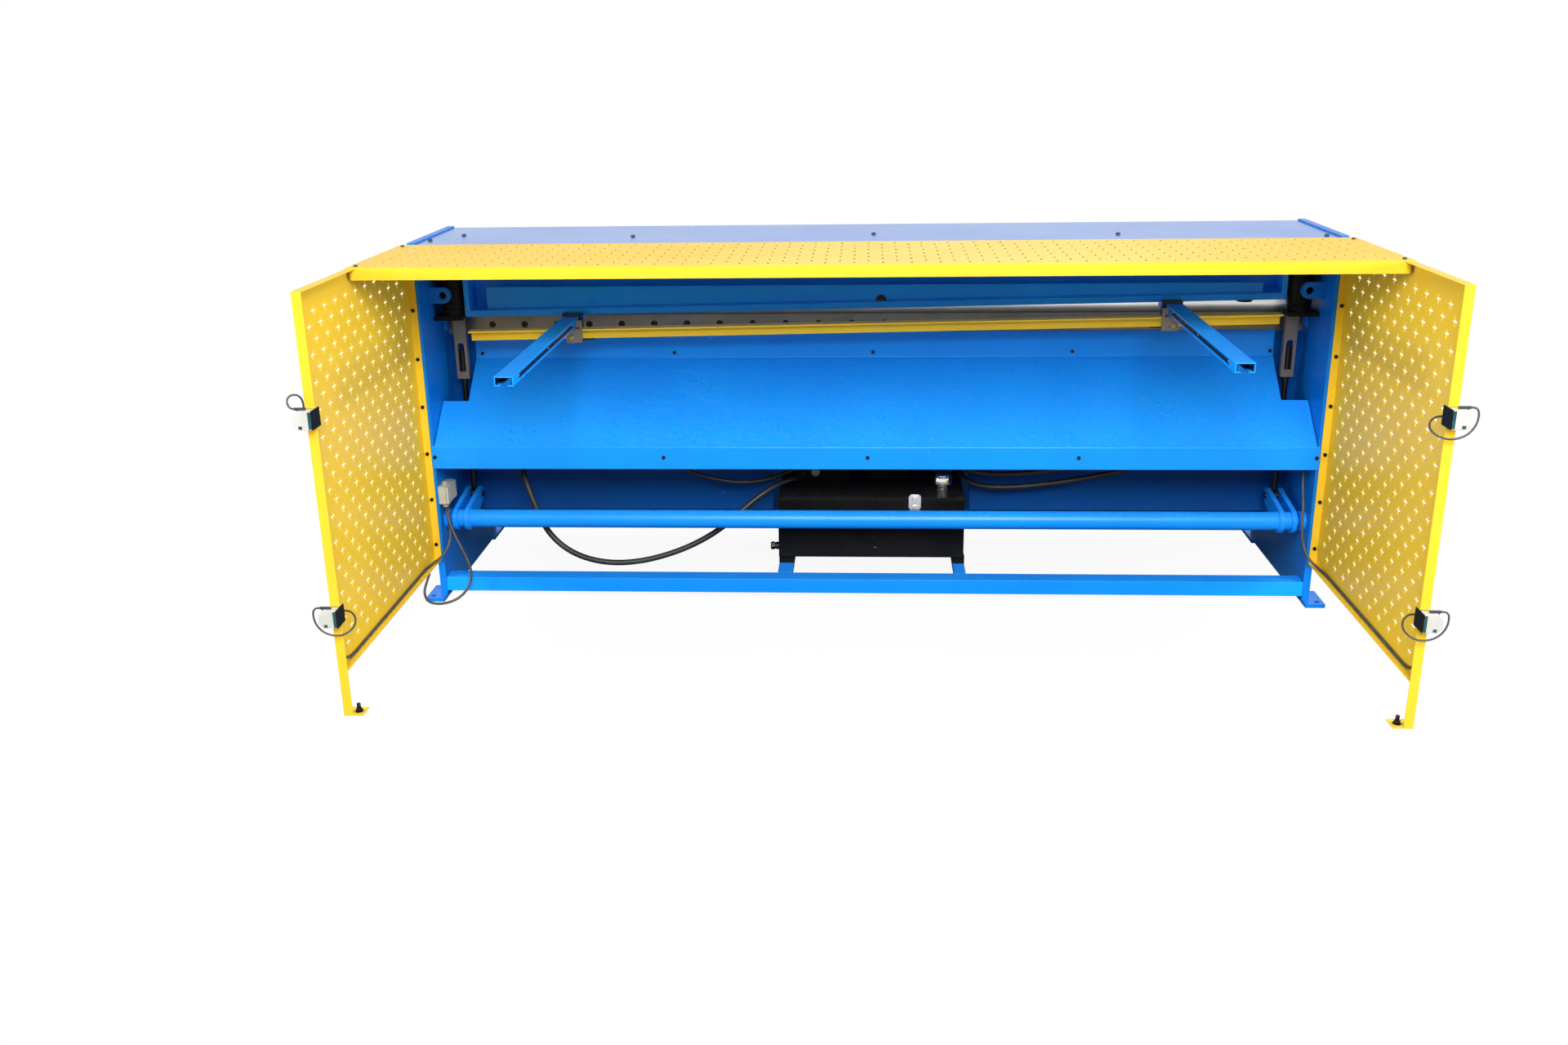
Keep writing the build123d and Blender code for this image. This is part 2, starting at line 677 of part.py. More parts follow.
def shaft_levers():
    levers = []
    hub = (SHAFT_Y, SHAFT_Z)
    end = (PIN_Y, PIN_Z)
    outline = make_hull(
        (Pos(*hub) * Circle(LEVER_HUB_R)).edges() + (Pos(*end) * Circle(LEVER_END_R)).edges()
    )
    outline -= Pos(*hub) * Circle(SHAFT_R)
    outline -= Pos(*end) * Circle(PIN_R)
    offset = EYE_W / 2 + LEVER_GAP
    for side in (-1, 1):
        for x in (side * END_X - offset - LEVER_THICK, side * END_X + offset):
            levers.append(Pos(x, 0, 0) * extrude(Plane.YZ * outline, LEVER_THICK, dir=(1, 0, 0)))
    return levers


def lever_pin(side):
    half = EYE_W / 2 + LEVER_GAP + LEVER_THICK + PIN_HEAD
    return disc((side * END_X - half, PIN_Y, PIN_Z), PIN_R, 2 * half, (1, 0, 0))


def shaft_bearing(side):
    low, high = span(side, INNER - BEARING_W, INNER)
    ring = disc((low, SHAFT_Y, SHAFT_Z), BEARING_R, high - low, (1, 0, 0))
    return ring - disc((low, SHAFT_Y, SHAFT_Z), JOURNAL_R + JOURNAL_FIT, high - low, (1, 0, 0))


# Back gauge


def rail_top(x):
    return RAM_BOTTOM_Z + RAKE * x - RAIL_DROP


def gauge_rail(side):
    top = rail_top(side * RAIL_X)
    half = RAIL_W / 2
    x = (side * RAIL_X - half, side * RAIL_X + half)
    y = (RAIL_REAR_Y, RAM_PLATE_Y[0])
    rail = box(x, y, (top - RAIL_H, top))
    inner_x = (x[0] + RAIL_WALL, x[1] - RAIL_WALL)
    rail -= box(inner_x, y, (top - RAIL_H + RAIL_WALL, top - RAIL_WALL))
    slot_x = (inner_x[0] + RAIL_LIP, inner_x[1] - RAIL_LIP)
    rail -= box(slot_x, y, (top - RAIL_H, top - RAIL_H + RAIL_WALL))
    wall_x = span(side, RAIL_X - half, RAIL_X - half + RAIL_WALL)
    return rail - box(wall_x, RAIL_SLOT_Y, (top - RAIL_H + RAIL_SLOT_EDGE, top - RAIL_SLOT_EDGE))


def gauge_angle():
    y = (GAUGE_REAR_Y, GAUGE_REAR_Y + GAUGE_LEG)
    top = raked(GAUGE_HALF, GAUGE_TOP_Z - GAUGE_LEG_T, GAUGE_LEG_T, *y)
    leg_y = (y[1] - GAUGE_LEG_T, y[1])
    return top + raked(GAUGE_HALF, GAUGE_TOP_Z - GAUGE_LEG_DOWN, GAUGE_LEG_DOWN, *leg_y)


def gauge_clamp(side):
    """The strap over the rail, the plate down its inner side and the tab bolted to the angle."""
    top = rail_top(side * RAIL_X)
    y0 = GAUGE_REAR_Y + GAUGE_LEG
    y = (y0, y0 + CLAMP_DEPTH)
    inner = RAIL_X - RAIL_W / 2 - CLAMP_GAP
    outer = RAIL_X + RAIL_W / 2
    strap_z = (top + CLAMP_GAP, top + CLAMP_GAP + CLAMP_STRAP)
    bottom = GAUGE_TOP_Z + RAKE * side * RAIL_X - CLAMP_BOTTOM_DROP
    clamp = box(span(side, inner - CLAMP_THICK, outer), y, strap_z)
    clamp += box(span(side, inner - CLAMP_THICK, inner), y, (bottom, strap_z[1]))
    tab_x = span(side, inner - CLAMP_THICK - CLAMP_TAB, inner - CLAMP_THICK)
    return clamp + box(tab_x, (y0, y0 + CLAMP_TAB_T), (bottom, bottom + CLAMP_TAB))


# Sensors, junction box and cables


def sensor_places():
    for side, name in ((-1, "left"), (1, "right")):
        yield side, TABLE_Z - SENSOR_DOWN[name]
        yield side, GUARD_BOTTOM_Z + SENSOR_UP[name]


def sensor_brackets():
    """An angle for each sensor: one leg between the box and the guard's post, one leg past its inner edge."""
    rear = -GUARD_DEPTH - SENSOR_PLATE
    brackets = []
    for side, z in sensor_places():
        tall = (z - SENSOR / 2, z + SENSOR / 2)
        plate_x = span(side, GUARD_INNER - SENSOR_PLATE, GUARD_INNER + SENSOR)
        bracket = box(plate_x, (rear, -GUARD_DEPTH), tall)
        leg_x = span(side, GUARD_INNER - SENSOR_PLATE, GUARD_INNER)
        brackets.append(bracket + box(leg_x, (rear - SENSOR_DEPTH, SENSOR_LEG - GUARD_DEPTH), tall))
    return brackets


def sensor_boxes():
    """Each box with its plug, a small bar on top from whose outer end the lead comes."""
    front = -GUARD_DEPTH - SENSOR_PLATE
    boxes = []
    for side, z in sensor_places():
        x = span(side, GUARD_INNER, GUARD_INNER + SENSOR)
        body = box(x, (front - SENSOR_DEPTH, front), (z - SENSOR / 2, z + SENSOR / 2))
        plug_x = span(side, SENSOR_MIDDLE_X + SENSOR_PLUG_OUT[0], SENSOR_MIDDLE_X + SENSOR_PLUG_OUT[1])
        plug_y = (PLUG_AXIS_Y - SENSOR_PLUG / 2, PLUG_AXIS_Y + SENSOR_PLUG / 2)
        boxes.append(body + box(plug_x, plug_y, (z + SENSOR / 2, z + SENSOR / 2 + SENSOR_PLUG)))
    return boxes


def junction_box():
    x = (-INNER, -INNER + JBOX_DEPTH)
    body = box(x, JBOX_Y, JBOX_Z)
    for y in CABLE_GLANDS_Y:
        body += disc((GLAND_MOUTH_X, y, JBOX_Z[0] - GLAND_H), GLAND_R, GLAND_H, (0, 0, 1))
    return body


def cable_inlet():
    """The small box under the chute on the right, where the right-hand sensor cable starts."""
    body = box((INNER - JBOX_DEPTH, INNER), INLET_Y, INLET_Z)
    return body + disc((INLET_MOUTH[0], INLET_MOUTH[1], INLET_MOUTH[2]), GLAND_R, GLAND_H, (0, 0, 1))


CABLE_GLANDS_Y = (JBOX_Y[0] + 14, JBOX_Y[0] + 38)
GLAND_MOUTH_X = -INNER + JBOX_DEPTH / 2
GLAND_MOUTH_Z = JBOX_Z[0] - GLAND_H
INLET_MOUTH = (INNER - JBOX_DEPTH / 2, (INLET_Y[0] + INLET_Y[1]) / 2, INLET_Z[0] - GLAND_H)
SENSOR_MIDDLE_X = GUARD_INNER + SENSOR / 2
PLUG_AXIS_Y = -GUARD_DEPTH - SENSOR_PLATE - SENSOR_DEPTH / 2
PLUG_AXIS_UP = (SENSOR + SENSOR_PLUG) / 2
FLANGE_CABLE_Z = GUARD_BOTTOM_Z + GUARD_SHEET + CABLE_D / 2
FLANGE_CABLE_X = GUARD_HALF - GUARD_SHEET - CABLE_D / 2
POST_CABLE_Y = -GUARD_DEPTH + GUARD_SHEET + CABLE_D / 2

# Each cable on a guard's lower flange: down the side plate, along the flange and up the rear post.
CABLE_RUN_LEFT = [
    (GLAND_MOUTH_X, CABLE_GLANDS_Y[1], GLAND_MOUTH_Z),
    (GLAND_MOUTH_X, CABLE_GLANDS_Y[1], 275),
    (-INNER + 17, 27, 257),
    (-INNER + 23, 10, 232),
    (-INNER + 29, -12, 202),
    (-INNER + 22, -24, 172),
    (-INNER + 4, -42, 146),
    (-INNER - 20, -74, 134),
    (-FLANGE_CABLE_X, -120, FLANGE_CABLE_Z),
    (-FLANGE_CABLE_X, 80 - GUARD_DEPTH, FLANGE_CABLE_Z),
    (-FLANGE_CABLE_X, 34 - GUARD_DEPTH, 146),
    (-FLANGE_CABLE_X, POST_CABLE_Y, 196),
    (-FLANGE_CABLE_X, POST_CABLE_Y, 246),
]
CABLE_RUN_RIGHT = [
    INLET_MOUTH,
    (INLET_MOUTH[0], INLET_MOUTH[1], INLET_MOUTH[2] - 28),
    (INLET_MOUTH[0] - 2, 44, 346),
    (INNER - 18, 22, 310),
    (INNER - 22, 2, 268),
    (INNER - 24, -12, 226),
    (INNER - 18, -24, 184),
    (INNER - 4, -42, 152),
    (INNER + 20, -76, 135),
    (FLANGE_CABLE_X, -120, FLANGE_CABLE_Z),
    (FLANGE_CABLE_X, 80 - GUARD_DEPTH, FLANGE_CABLE_Z),
    (FLANGE_CABLE_X, 34 - GUARD_DEPTH, 146),
    (FLANGE_CABLE_X, POST_CABLE_Y, 196),
    (FLANGE_CABLE_X, POST_CABLE_Y, 246),
]
CABLE_LOOP = [
    (GLAND_MOUTH_X, CABLE_GLANDS_Y[0], GLAND_MOUTH_Z),
    (GLAND_MOUTH_X, CABLE_GLANDS_Y[0], 276),
    (-INNER + 22, 6, 256),
    (-INNER + 36, -10, 224),
    (-INNER + 58, -24, 184),
    (-INNER + 78, -28, 140),
    (-INNER + 92, -30, 92),
    (-INNER + 80, -38, 46),
    (-INNER + 48, -56, 14),
    (-INNER + 4, -84, 8),
    (-INNER - 34, -98, 20),
    (-INNER - 45, -94, 52),
    (-INNER - 36, -82, 82),
    (-INNER - 28, -70, GUARD_BOTTOM_Z - 18),
    (-INNER - 28, -70, GUARD_BOTTOM_Z),
]

# Each sensor's lead, from its plug to the guard: outwards from the middle of the box, to the front from the
# guard's rear face, and up from the middle of the box.
LEAD_ROUND_THE_BOX = [
    (SENSOR_PLUG_OUT[1], -18, PLUG_AXIS_UP),
    (29, -18, PLUG_AXIS_UP),
    (37, -18, 21),
    (40, -18, 8),
    (38, -19, -10),
    (29, -20, -28),
    (13, -20, -42),
    (-9, -19, -49),
    (-31, -14, -48),
    (-45, 4, -42),
    (-48, 28, -34),
    (-40, 50, -25),
    (-26, 66, -20),
    (-13, 74, -18),
    (GUARD_HALF - GUARD_SHEET - SENSOR_MIDDLE_X, 74, -18),
]
LEAD_OVER_THE_BOX = [
    (SENSOR_PLUG_OUT[1], -18, PLUG_AXIS_UP),
    (29, -18, PLUG_AXIS_UP),
    (36, -17, 38),
    (36, -14, 50),
    (27, -9, 58),
    (14, -3, 57),
    (8, 5, 46),
    (8, 11, 31),
    (11, 17, 14),
    (14, 24, -4),
    (14, 33, -15),
    (13, 40, -22),
    (8.5, 45, -26),
    (GUARD_HALF - SENSOR_MIDDLE_X, 45, -26),
]

# The fittings on the bed's rear plate, where the hoses go to the cylinders, as x and z.
FITTING_TO_SIDE = 240
FITTINGS = {
    "loop": (-HALF_WIDTH + FITTING_TO_SIDE, 392),
    "back": (-640, 396),
    "upper": (742, 396),
    "lower": (800, 362),
}
FITTING_MOUTH_Y = CUT_Y - FITTING_LEN
PUMP_AXIS_Z = LID_TOP_Z + MOTOR_FOOT_H + MOTOR_R
PUMP_FACE_X = MOTOR_X[1] + PUMP_LEN
LOOP_PORT = (-212, 314)
BACK_PORT = (-218, 350)
# The long hose between its ends: the share of the way from its fitting to its port, then y and z.
HOSE_LOOP_ROUTE = [
    (0.011, 152, 362),
    (0.039, 128, 300),
    (0.064, 122, 236),
    (0.098, 112, 176),
    (0.159, 96, 128),
    (0.239, 80, 100),
    (0.330, 74, 88),
    (0.427, 78, 92),
    (0.524, 88, 110),
    (0.615, 100, 138),
    (0.706, 114, 180),
    (0.780, 128, 232),
    (0.849, 148, 282),
    (0.918, 178, 316),
    (0.977, 220, 324),
]
LOOP_REACH = LOOP_PORT[0] - FITTINGS["loop"][0]
HOSE_LOOP = [
    (FITTINGS["loop"][0], FITTING_MOUTH_Y, FITTINGS["loop"][1]),
    (FITTINGS["loop"][0], 196, FITTINGS["loop"][1]),
    *[(FITTINGS["loop"][0] + share * LOOP_REACH, y, z) for share, y, z in HOSE_LOOP_ROUTE],
    (LOOP_PORT[0], 262, LOOP_PORT[1]),
    (LOOP_PORT[0], VALVE_Y[0], LOOP_PORT[1]),
]
HOSE_BACK = [
    (FITTINGS["back"][0], FITTING_MOUTH_Y, FITTINGS["back"][1]),
    (FITTINGS["back"][0], 204, FITTINGS["back"][1]),
    (-612, 174, 386),
    (-546, 160, 359),
    (-466, 158, 336),
    (-386, 164, 325),
    (-310, 182, 330),
    (-246, 216, 347),
    (BACK_PORT[0], 260, BACK_PORT[1]),
    (BACK_PORT[0], VALVE_Y[0], BACK_PORT[1]),
]
HOSE_UPPER = [
    (PUMP_FACE_X, 352, 388),
    (PUMP_FACE_X + 24, 352, 388),
    (252, 338, 382),
    (278, 302, 372),
    (288, 262, 362),
    (304, 222, 354),
    (346, 190, 350),
    (416, 174, 350),
    (496, 170, 356),
    (576, 170, 366),
    (650, 172, 378),
    (712, 180, 390),
    (FITTINGS["upper"][0], 208, FITTINGS["upper"][1]),
    (FITTINGS["upper"][0], FITTING_MOUTH_Y, FITTINGS["upper"][1]),
]
HOSE_LOWER = [
    (PUMP_FACE_X, 372, 352),
    (PUMP_FACE_X + 26, 372, 352),
    (254, 356, 350),
    (280, 316, 342),
    (292, 270, 330),
    (306, 230, 316),
    (346, 200, 306),
    (416, 188, 304),
    (496, 186, 310),
    (580, 186, 320),
    (662, 186, 334),
    (735, 182, 350),
    (776, 188, 358),
    (FITTINGS["lower"][0], 208, FITTINGS["lower"][1]),
    (FITTINGS["lower"][0], FITTING_MOUTH_Y, FITTINGS["lower"][1]),
]


def sensor_leads():
    """The upper left lead stands in a ring above its box, the others hang round theirs."""
    leads = []
    for side, z in sensor_places():
        over = side < 0 and z > GUARD_TOP_Z / 2
        route = LEAD_OVER_THE_BOX if over else LEAD_ROUND_THE_BOX
        points = [(side * (SENSOR_MIDDLE_X + out), y - GUARD_DEPTH, z + up) for out, y, up in route]
        leads.append(cord("sensor_lead", points, LEAD_D))
    return leads


def hose_fittings():
    return [disc((x, CUT_Y, z), FITTING_R, FITTING_LEN, (0, -1, 0)) for x, z in FITTINGS.values()]


def write_parts():
    """Every node's solids, placed with the origin under the middle of the machine."""
    nodes = {
        "side_plate_left": [side_plate(-1)],
        "side_plate_right": [side_plate(1)],
        "foot_plates": foot_plates(),
        "top_cover": [top_cover()],
        "front_cover": [front_cover()],
        "top_guard": [top_guard()],
        "side_guard_left": [side_guard(-1)],
        "side_guard_right": [side_guard(1)],
        "chute": [chute()],
        "bed_rear_plate": [bed_rear_plate()],
        "bed_front_plate": [bed_front_plate()],
        "bed_ribs": bed_ribs(),
        "table_top": [table_top()],
        "lower_blade": [lower_blade()],
        "bottom_beam": [bottom_beam()],
        "tank_bars": tank_bars(),
        "tank_feet": tank_feet(),
        "oil_tank": [oil_tank()],
        "tank_lid": [tank_lid()],
        "tank_hatch": [tank_hatch()],
        "level_gauge": [level_gauge()],
        "filler_cap": [filler_cap()],
        "drain_plug": [drain_plug()],
        "valve_block": [valve_block()],
        "valve_knob": [valve_knob()],
        "pump_motor": [pump_motor()],
        "hold_down_beam": [hold_down_beam()],
        "hold_down_feet": hold_down_feet(),
        "finger_guard": [finger_guard()],
        "guide_strips": both_sides(guide_strip),
        "cylinder_left": [cylinder(-1)],
        "cylinder_right": [cylinder(1)],
        "cylinder_shelves": both_sides(cylinder_shelf),
        "end_lugs": both_sides(end_lug),
        "shaft_bearings": both_sides(shaft_bearing),
        "ram_beam": [ram_beam()],
        "upper_blade": [upper_blade()],
        "ram_arms": both_sides(ram_arm),
        "piston_rods": both_sides(piston_rod),
        "link_bars": both_sides(link_bar),
        "link_rods": both_sides(link_rod),
        "gauge_rails": both_sides(gauge_rail),
        "torsion_tube": [torsion_tube()],
        "shaft_levers": shaft_levers(),
        "lever_pins": both_sides(lever_pin),
        "gauge_angle": [gauge_angle()],
        "gauge_clamps": both_sides(gauge_clamp),
        "sensor_brackets": sensor_brackets(),
        "sensor_boxes": sensor_boxes(),
        "junction_box": [junction_box()],
        "cable_inlet": [cable_inlet()],
        "hose_fittings": hose_fittings(),
        "sensor_leads": sensor_leads(),
        "cable_run_left": [cord("cable_run_left", CABLE_RUN_LEFT, CABLE_D)],
        "cable_run_right": [cord("cable_run_right", CABLE_RUN_RIGHT, CABLE_D)],
        "cable_loop": [cord("cable_loop", CABLE_LOOP, CABLE_D)],
        "hose_loop": [cord("hose_loop", HOSE_LOOP, HOSE_D)],
        "hose_back": [cord("hose_back", HOSE_BACK, THIN_HOSE_D)],
        "hose_upper": [cord("hose_upper", HOSE_UPPER, HOSE_D)],
        "hose_lower": [cord("hose_lower", HOSE_LOWER, HOSE_D)],
    }
    rear_most = -GUARD_DEPTH - SENSOR_PLATE - SENSOR_DEPTH
    place_y = -(rear_most + FOOT_FRONT[1]) / 2
    os.makedirs("parts", exist_ok=True)
    for name, solids in nodes.items():
        placed = [Pos(0, place_y, 0) * solid for solid in solids]
        export_step(placed[0] if len(placed) == 1 else Compound(children=placed), f"parts/{name}.step")
    print("place_y", place_y, "lever length", round(LEVER_LENGTH, 3), "shaft turn", round(SHAFT_TURN, 5))


write_parts()
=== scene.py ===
import logging
import math
from dataclasses import dataclass
from enum import Enum

import bmesh
import bpy
from mathutils import Matrix, Vector
from mathutils.geometry import tessellate_polygon


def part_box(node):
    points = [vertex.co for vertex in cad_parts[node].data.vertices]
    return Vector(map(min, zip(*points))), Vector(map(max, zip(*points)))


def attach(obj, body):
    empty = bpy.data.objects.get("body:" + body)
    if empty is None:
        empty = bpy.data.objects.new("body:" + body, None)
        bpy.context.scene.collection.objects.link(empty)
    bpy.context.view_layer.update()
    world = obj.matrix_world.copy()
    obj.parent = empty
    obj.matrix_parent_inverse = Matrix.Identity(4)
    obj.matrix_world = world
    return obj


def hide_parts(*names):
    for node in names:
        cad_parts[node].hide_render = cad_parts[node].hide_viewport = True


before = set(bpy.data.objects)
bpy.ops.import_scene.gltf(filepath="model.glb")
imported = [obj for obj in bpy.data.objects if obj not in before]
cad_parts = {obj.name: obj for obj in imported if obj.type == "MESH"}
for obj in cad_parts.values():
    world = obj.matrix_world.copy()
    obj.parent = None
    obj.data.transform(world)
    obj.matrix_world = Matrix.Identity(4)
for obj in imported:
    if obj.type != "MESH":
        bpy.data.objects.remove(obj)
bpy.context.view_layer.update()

# The looks of a low hydraulic shear seen from its rear. Places are written in the layout's millimetres:
# x = 0 in the middle of the machine, y = 0 at the rear edges of the side plates, z = 0 on the floor.
LOG = logging.getLogger("shear")
MM = 0.001
PLACE_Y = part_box("side_plate_left")[0].y / MM
SHARP_ANGLE = math.radians(34)
FLAT_ANGLE = math.radians(0.5)
WELD_REACH = 0.02 * MM
EDGE_FACETS = 2

# A point, a pair of limits or places on two axes, a screw head's radius and height, and a colour.
Point = tuple[float, float, float]
Range = tuple[float, float]
Head = tuple[float, float]
Colour = tuple[float, float, float, float]

PURE_WHITE: Colour = (1, 1, 1, 1)


class Body(Enum):
    """The bodies of the machine that pieces ride on."""

    FRAME = "frame"
    RAM = "ram"
    SHAFT = "torsion_shaft"
    GAUGE = "back_gauge"


class Slot(Enum):
    """The record's material slots that the added pieces stand for."""

    BLUE = "frame_blue"
    YELLOW = "guard_yellow"
    BLADE = "blade_steel"
    BLACK = "hydraulic_black"
    BRIGHT = "bright_metal"
    DARK = "dark_steel"
    WHITE = "sensor_white"
    GREY = "box_grey"
    RUBBER = "hose_rubber"


class Side(Enum):
    """The two ends of the machine, as seen from the rear."""

    LEFT = -1
    RIGHT = 1


def at(x: float, y: float, z: float) -> Vector:
    """A point of the layout as a point of the scene, in metres."""
    return Vector((x * MM, (y + PLACE_Y) * MM, z * MM))


def span(side: Side, low: float, high: float) -> Range:
    """An x range at one end of the machine, with low and high measured from the middle."""
    return (low, high) if side is Side.RIGHT else (-high, -low)


def around(middle: float, half: float) -> Range:
    """The limits that lie half a width to each side of a middle."""
    return (middle - half, middle + half)


def inset(limits: Range, by: float) -> Range:
    """Two limits drawn in at both ends."""
    return (limits[0] + by, limits[1] - by)


def rectangle(u: Range, v: Range) -> list[Range]:
    """The four corners between two limits on each axis."""
    return [(u[0], v[0]), (u[1], v[0]), (u[1], v[1]), (u[0], v[1])]


def place(centre: Point, axis: Point, spin: float = 0.0) -> Matrix:
    """A frame whose local z runs along an axis.

    Args:
        centre: Where the frame's origin stands, in the layout.
        axis: The direction of its local z.
        spin: A turn about that axis, in radians.

    Returns:
        The frame as a matrix.
    """
    turn = Vector(axis).to_track_quat("Z", "Y").to_matrix().to_4x4()
    return Matrix.Translation(Vector(centre)) @ turn @ Matrix.Rotation(spin, 4, "Z")


def ring(where: Matrix, radii: list[float], height: float) -> list[Vector]:
    """Evenly turned points round a frame's axis, one for each radius, at one height."""
    turns = [2 * math.pi * i / len(radii) for i in range(len(radii))]
    return [where @ Vector((r * math.cos(t), r * math.sin(t), height)) for r, t in zip(radii, turns)]


def show(name: str, data: bpy.types.ID) -> bpy.types.Object:
    """Puts an object into the scene.

    Args:
        name: The object's name.
        data: Its mesh, curve, lamp or camera.

    Returns:
        The new object.
    """
    made = bpy.data.objects.new(name, data)
    bpy.context.scene.collection.objects.link(made)
    return made


class Signal:
    """The output of a shader node, with arithmetic that adds Math nodes."""

    def __init__(self, sheet: "NodeSheet", socket: bpy.types.NodeSocket) -> None:
        """Wraps one output socket of a sheet."""
        self.sheet = sheet
        self.socket = socket

    def _math(self, operation: str, first: "Signal | float", second: "Signal | float") -> "Signal":
        """One Math node on two values."""
        node = self.sheet.add("ShaderNodeMath", {"operation": operation}, {0: first, 1: second})
        return Signal(self.sheet, node.outputs[0])

    def __add__(self, other: "Signal | float") -> "Signal":
        """This value plus another."""
        return self._math("ADD", self, other)

    def __radd__(self, other: float) -> "Signal":
        """A number plus this value."""
        return self._math("ADD", other, self)

    def __sub__(self, other: "Signal | float") -> "Signal":
        """This value minus another."""
        return self._math("SUBTRACT", self, other)

    def __rsub__(self, other: float) -> "Signal":
        """A number minus this value."""
        return self._math("SUBTRACT", other, self)

    def __mul__(self, other: "Signal | float") -> "Signal":
        """This value times another."""
        return self._math("MULTIPLY", self, other)

    def __rmul__(self, other: float) -> "Signal":
        """A number times this value."""
        return self._math("MULTIPLY", other, self)


class NodeSheet:
    """The node tree of one material or world."""

    def __init__(self, owner: bpy.types.Material | bpy.types.World) -> None:
        """Empties the owner's tree."""
        self.owner = owner
        self.owner.use_nodes = True
        self.tree = self.owner.node_tree
        self.tree.nodes.clear()

    def add(self, kind: str, settings: dict | None = None,
            inputs: dict | None = None) -> bpy.types.Node:
        """Adds one node.

        Args:
            kind: The node's type.
            settings: Its own properties, set first.
            inputs: Values or signals for its input sockets, by name or number.

        Returns:
            The node.
        """
        node = self.tree.nodes.new(kind)
        for name, value in (settings or {}).items():
            setattr(node, name, value)
        for key, value in (inputs or {}).items():
            if isinstance(value, Signal):
                self.tree.links.new(value.socket, node.inputs[key])
            else:
                node.inputs[key].default_value = value
        return node

    def signal(self, kind: str, output: str | int, settings: dict | None = None,
               inputs: dict | None = None) -> Signal:
        """One output of a new node as a signal."""
        return Signal(self, self.add(kind, settings, inputs).outputs[output])

    def rays(self, *names: str) -> list[Signal]:
        """Ones and zeros that tell which kind of ray looks at the surface."""
        path = self.add("ShaderNodeLightPath")
        return [Signal(self, path.outputs[name]) for name in names]

    def coordinates(self, stretch: Point = (1, 1, 1)) -> Signal:
        """The piece's own coordinates in metres, stretched by a factor on each axis."""
        own = self.signal("ShaderNodeTexCoord", "Object")
        return self.signal("ShaderNodeVectorMath", 0, {"operation": "MULTIPLY"}, {0: own, 1: stretch})

    def noise(self, scale: float, detail: float = 2.0, stretch: Point = (1, 1, 1)) -> Signal:
        """Cloudy noise from 0 to 1.

        Args:
            scale: Its frequency per metre.
            detail: How many octaves it has.
            stretch: A factor on each axis, to draw it out into streaks.

        Returns:
            The noise as a signal.
        """
        inputs = {"Vector": self.coordinates(stretch), "Scale": scale, "Detail": detail, "Roughness": 0.55}
        return self.signal("ShaderNodeTexNoise", 0, None, inputs)

    def remap(self, value: Signal, low: float, high: float, start: float = 0.0, end: float = 1.0) -> Signal:
        """The value's range from low to high, clamped and moved to start and end."""
        limits = {"Value": value, 1: low, 2: high, 3: start, 4: end}
        return self.signal("ShaderNodeMapRange", 0, {"clamp": True}, limits)

    def mix(self, factor: Signal, first: "Signal | Colour", second: "Signal | Colour") -> Signal:
        """A colour between two colours."""
        inputs = {0: factor, 6: first, 7: second}
        return self.signal("ShaderNodeMix", 2, {"data_type": "RGBA"}, inputs)

    def upward(self) -> Signal:
        """How far the surface faces up, from 0 to 1."""
        normal = self.signal("ShaderNodeNewGeometry", "Normal")
        up = self.signal("ShaderNodeSeparateXYZ", "Z", None, {0: normal})
        return self.remap(up, 0.3, 1.0)

    def bump(self, height: Signal, strength: float, distance: float) -> Signal:
        """A normal from a height.

        Args:
            height: The height as a signal.
            strength: How much of it shows.
            distance: Its depth in metres.

        Returns:
            The bent normal.
        """
        inputs = {"Height": height, "Strength": strength, "Distance": distance}
        return self.signal("ShaderNodeBump", 0, None, inputs)

    def surface(self, **sockets: "Signal | float | Colour") -> bpy.types.Material:
        """Ends the sheet in one principled surface.

        Args:
            **sockets: Values or signals for its sockets, with _ for each blank in their names.

        Returns:
            The finished material.
        """
        named = {name.replace("_", " "): value for name, value in sockets.items()}
        shader = self.signal("ShaderNodeBsdfPrincipled", 0, None, named)
        self.add("ShaderNodeOutputMaterial", None, {0: shader})
        return self.owner


class Finish:
    """A surface finish that makes its material once."""

    name: str

    def build(self, sheet: NodeSheet) -> bpy.types.Material:
        """Fills the sheet with this finish's nodes."""
        raise NotImplementedError

    def material(self) -> bpy.types.Material:
        """The finish's material, made when it is first asked for."""
        made = bpy.data.materials.get(self.name)
        return made or self.build(NodeSheet(bpy.data.materials.new(self.name)))


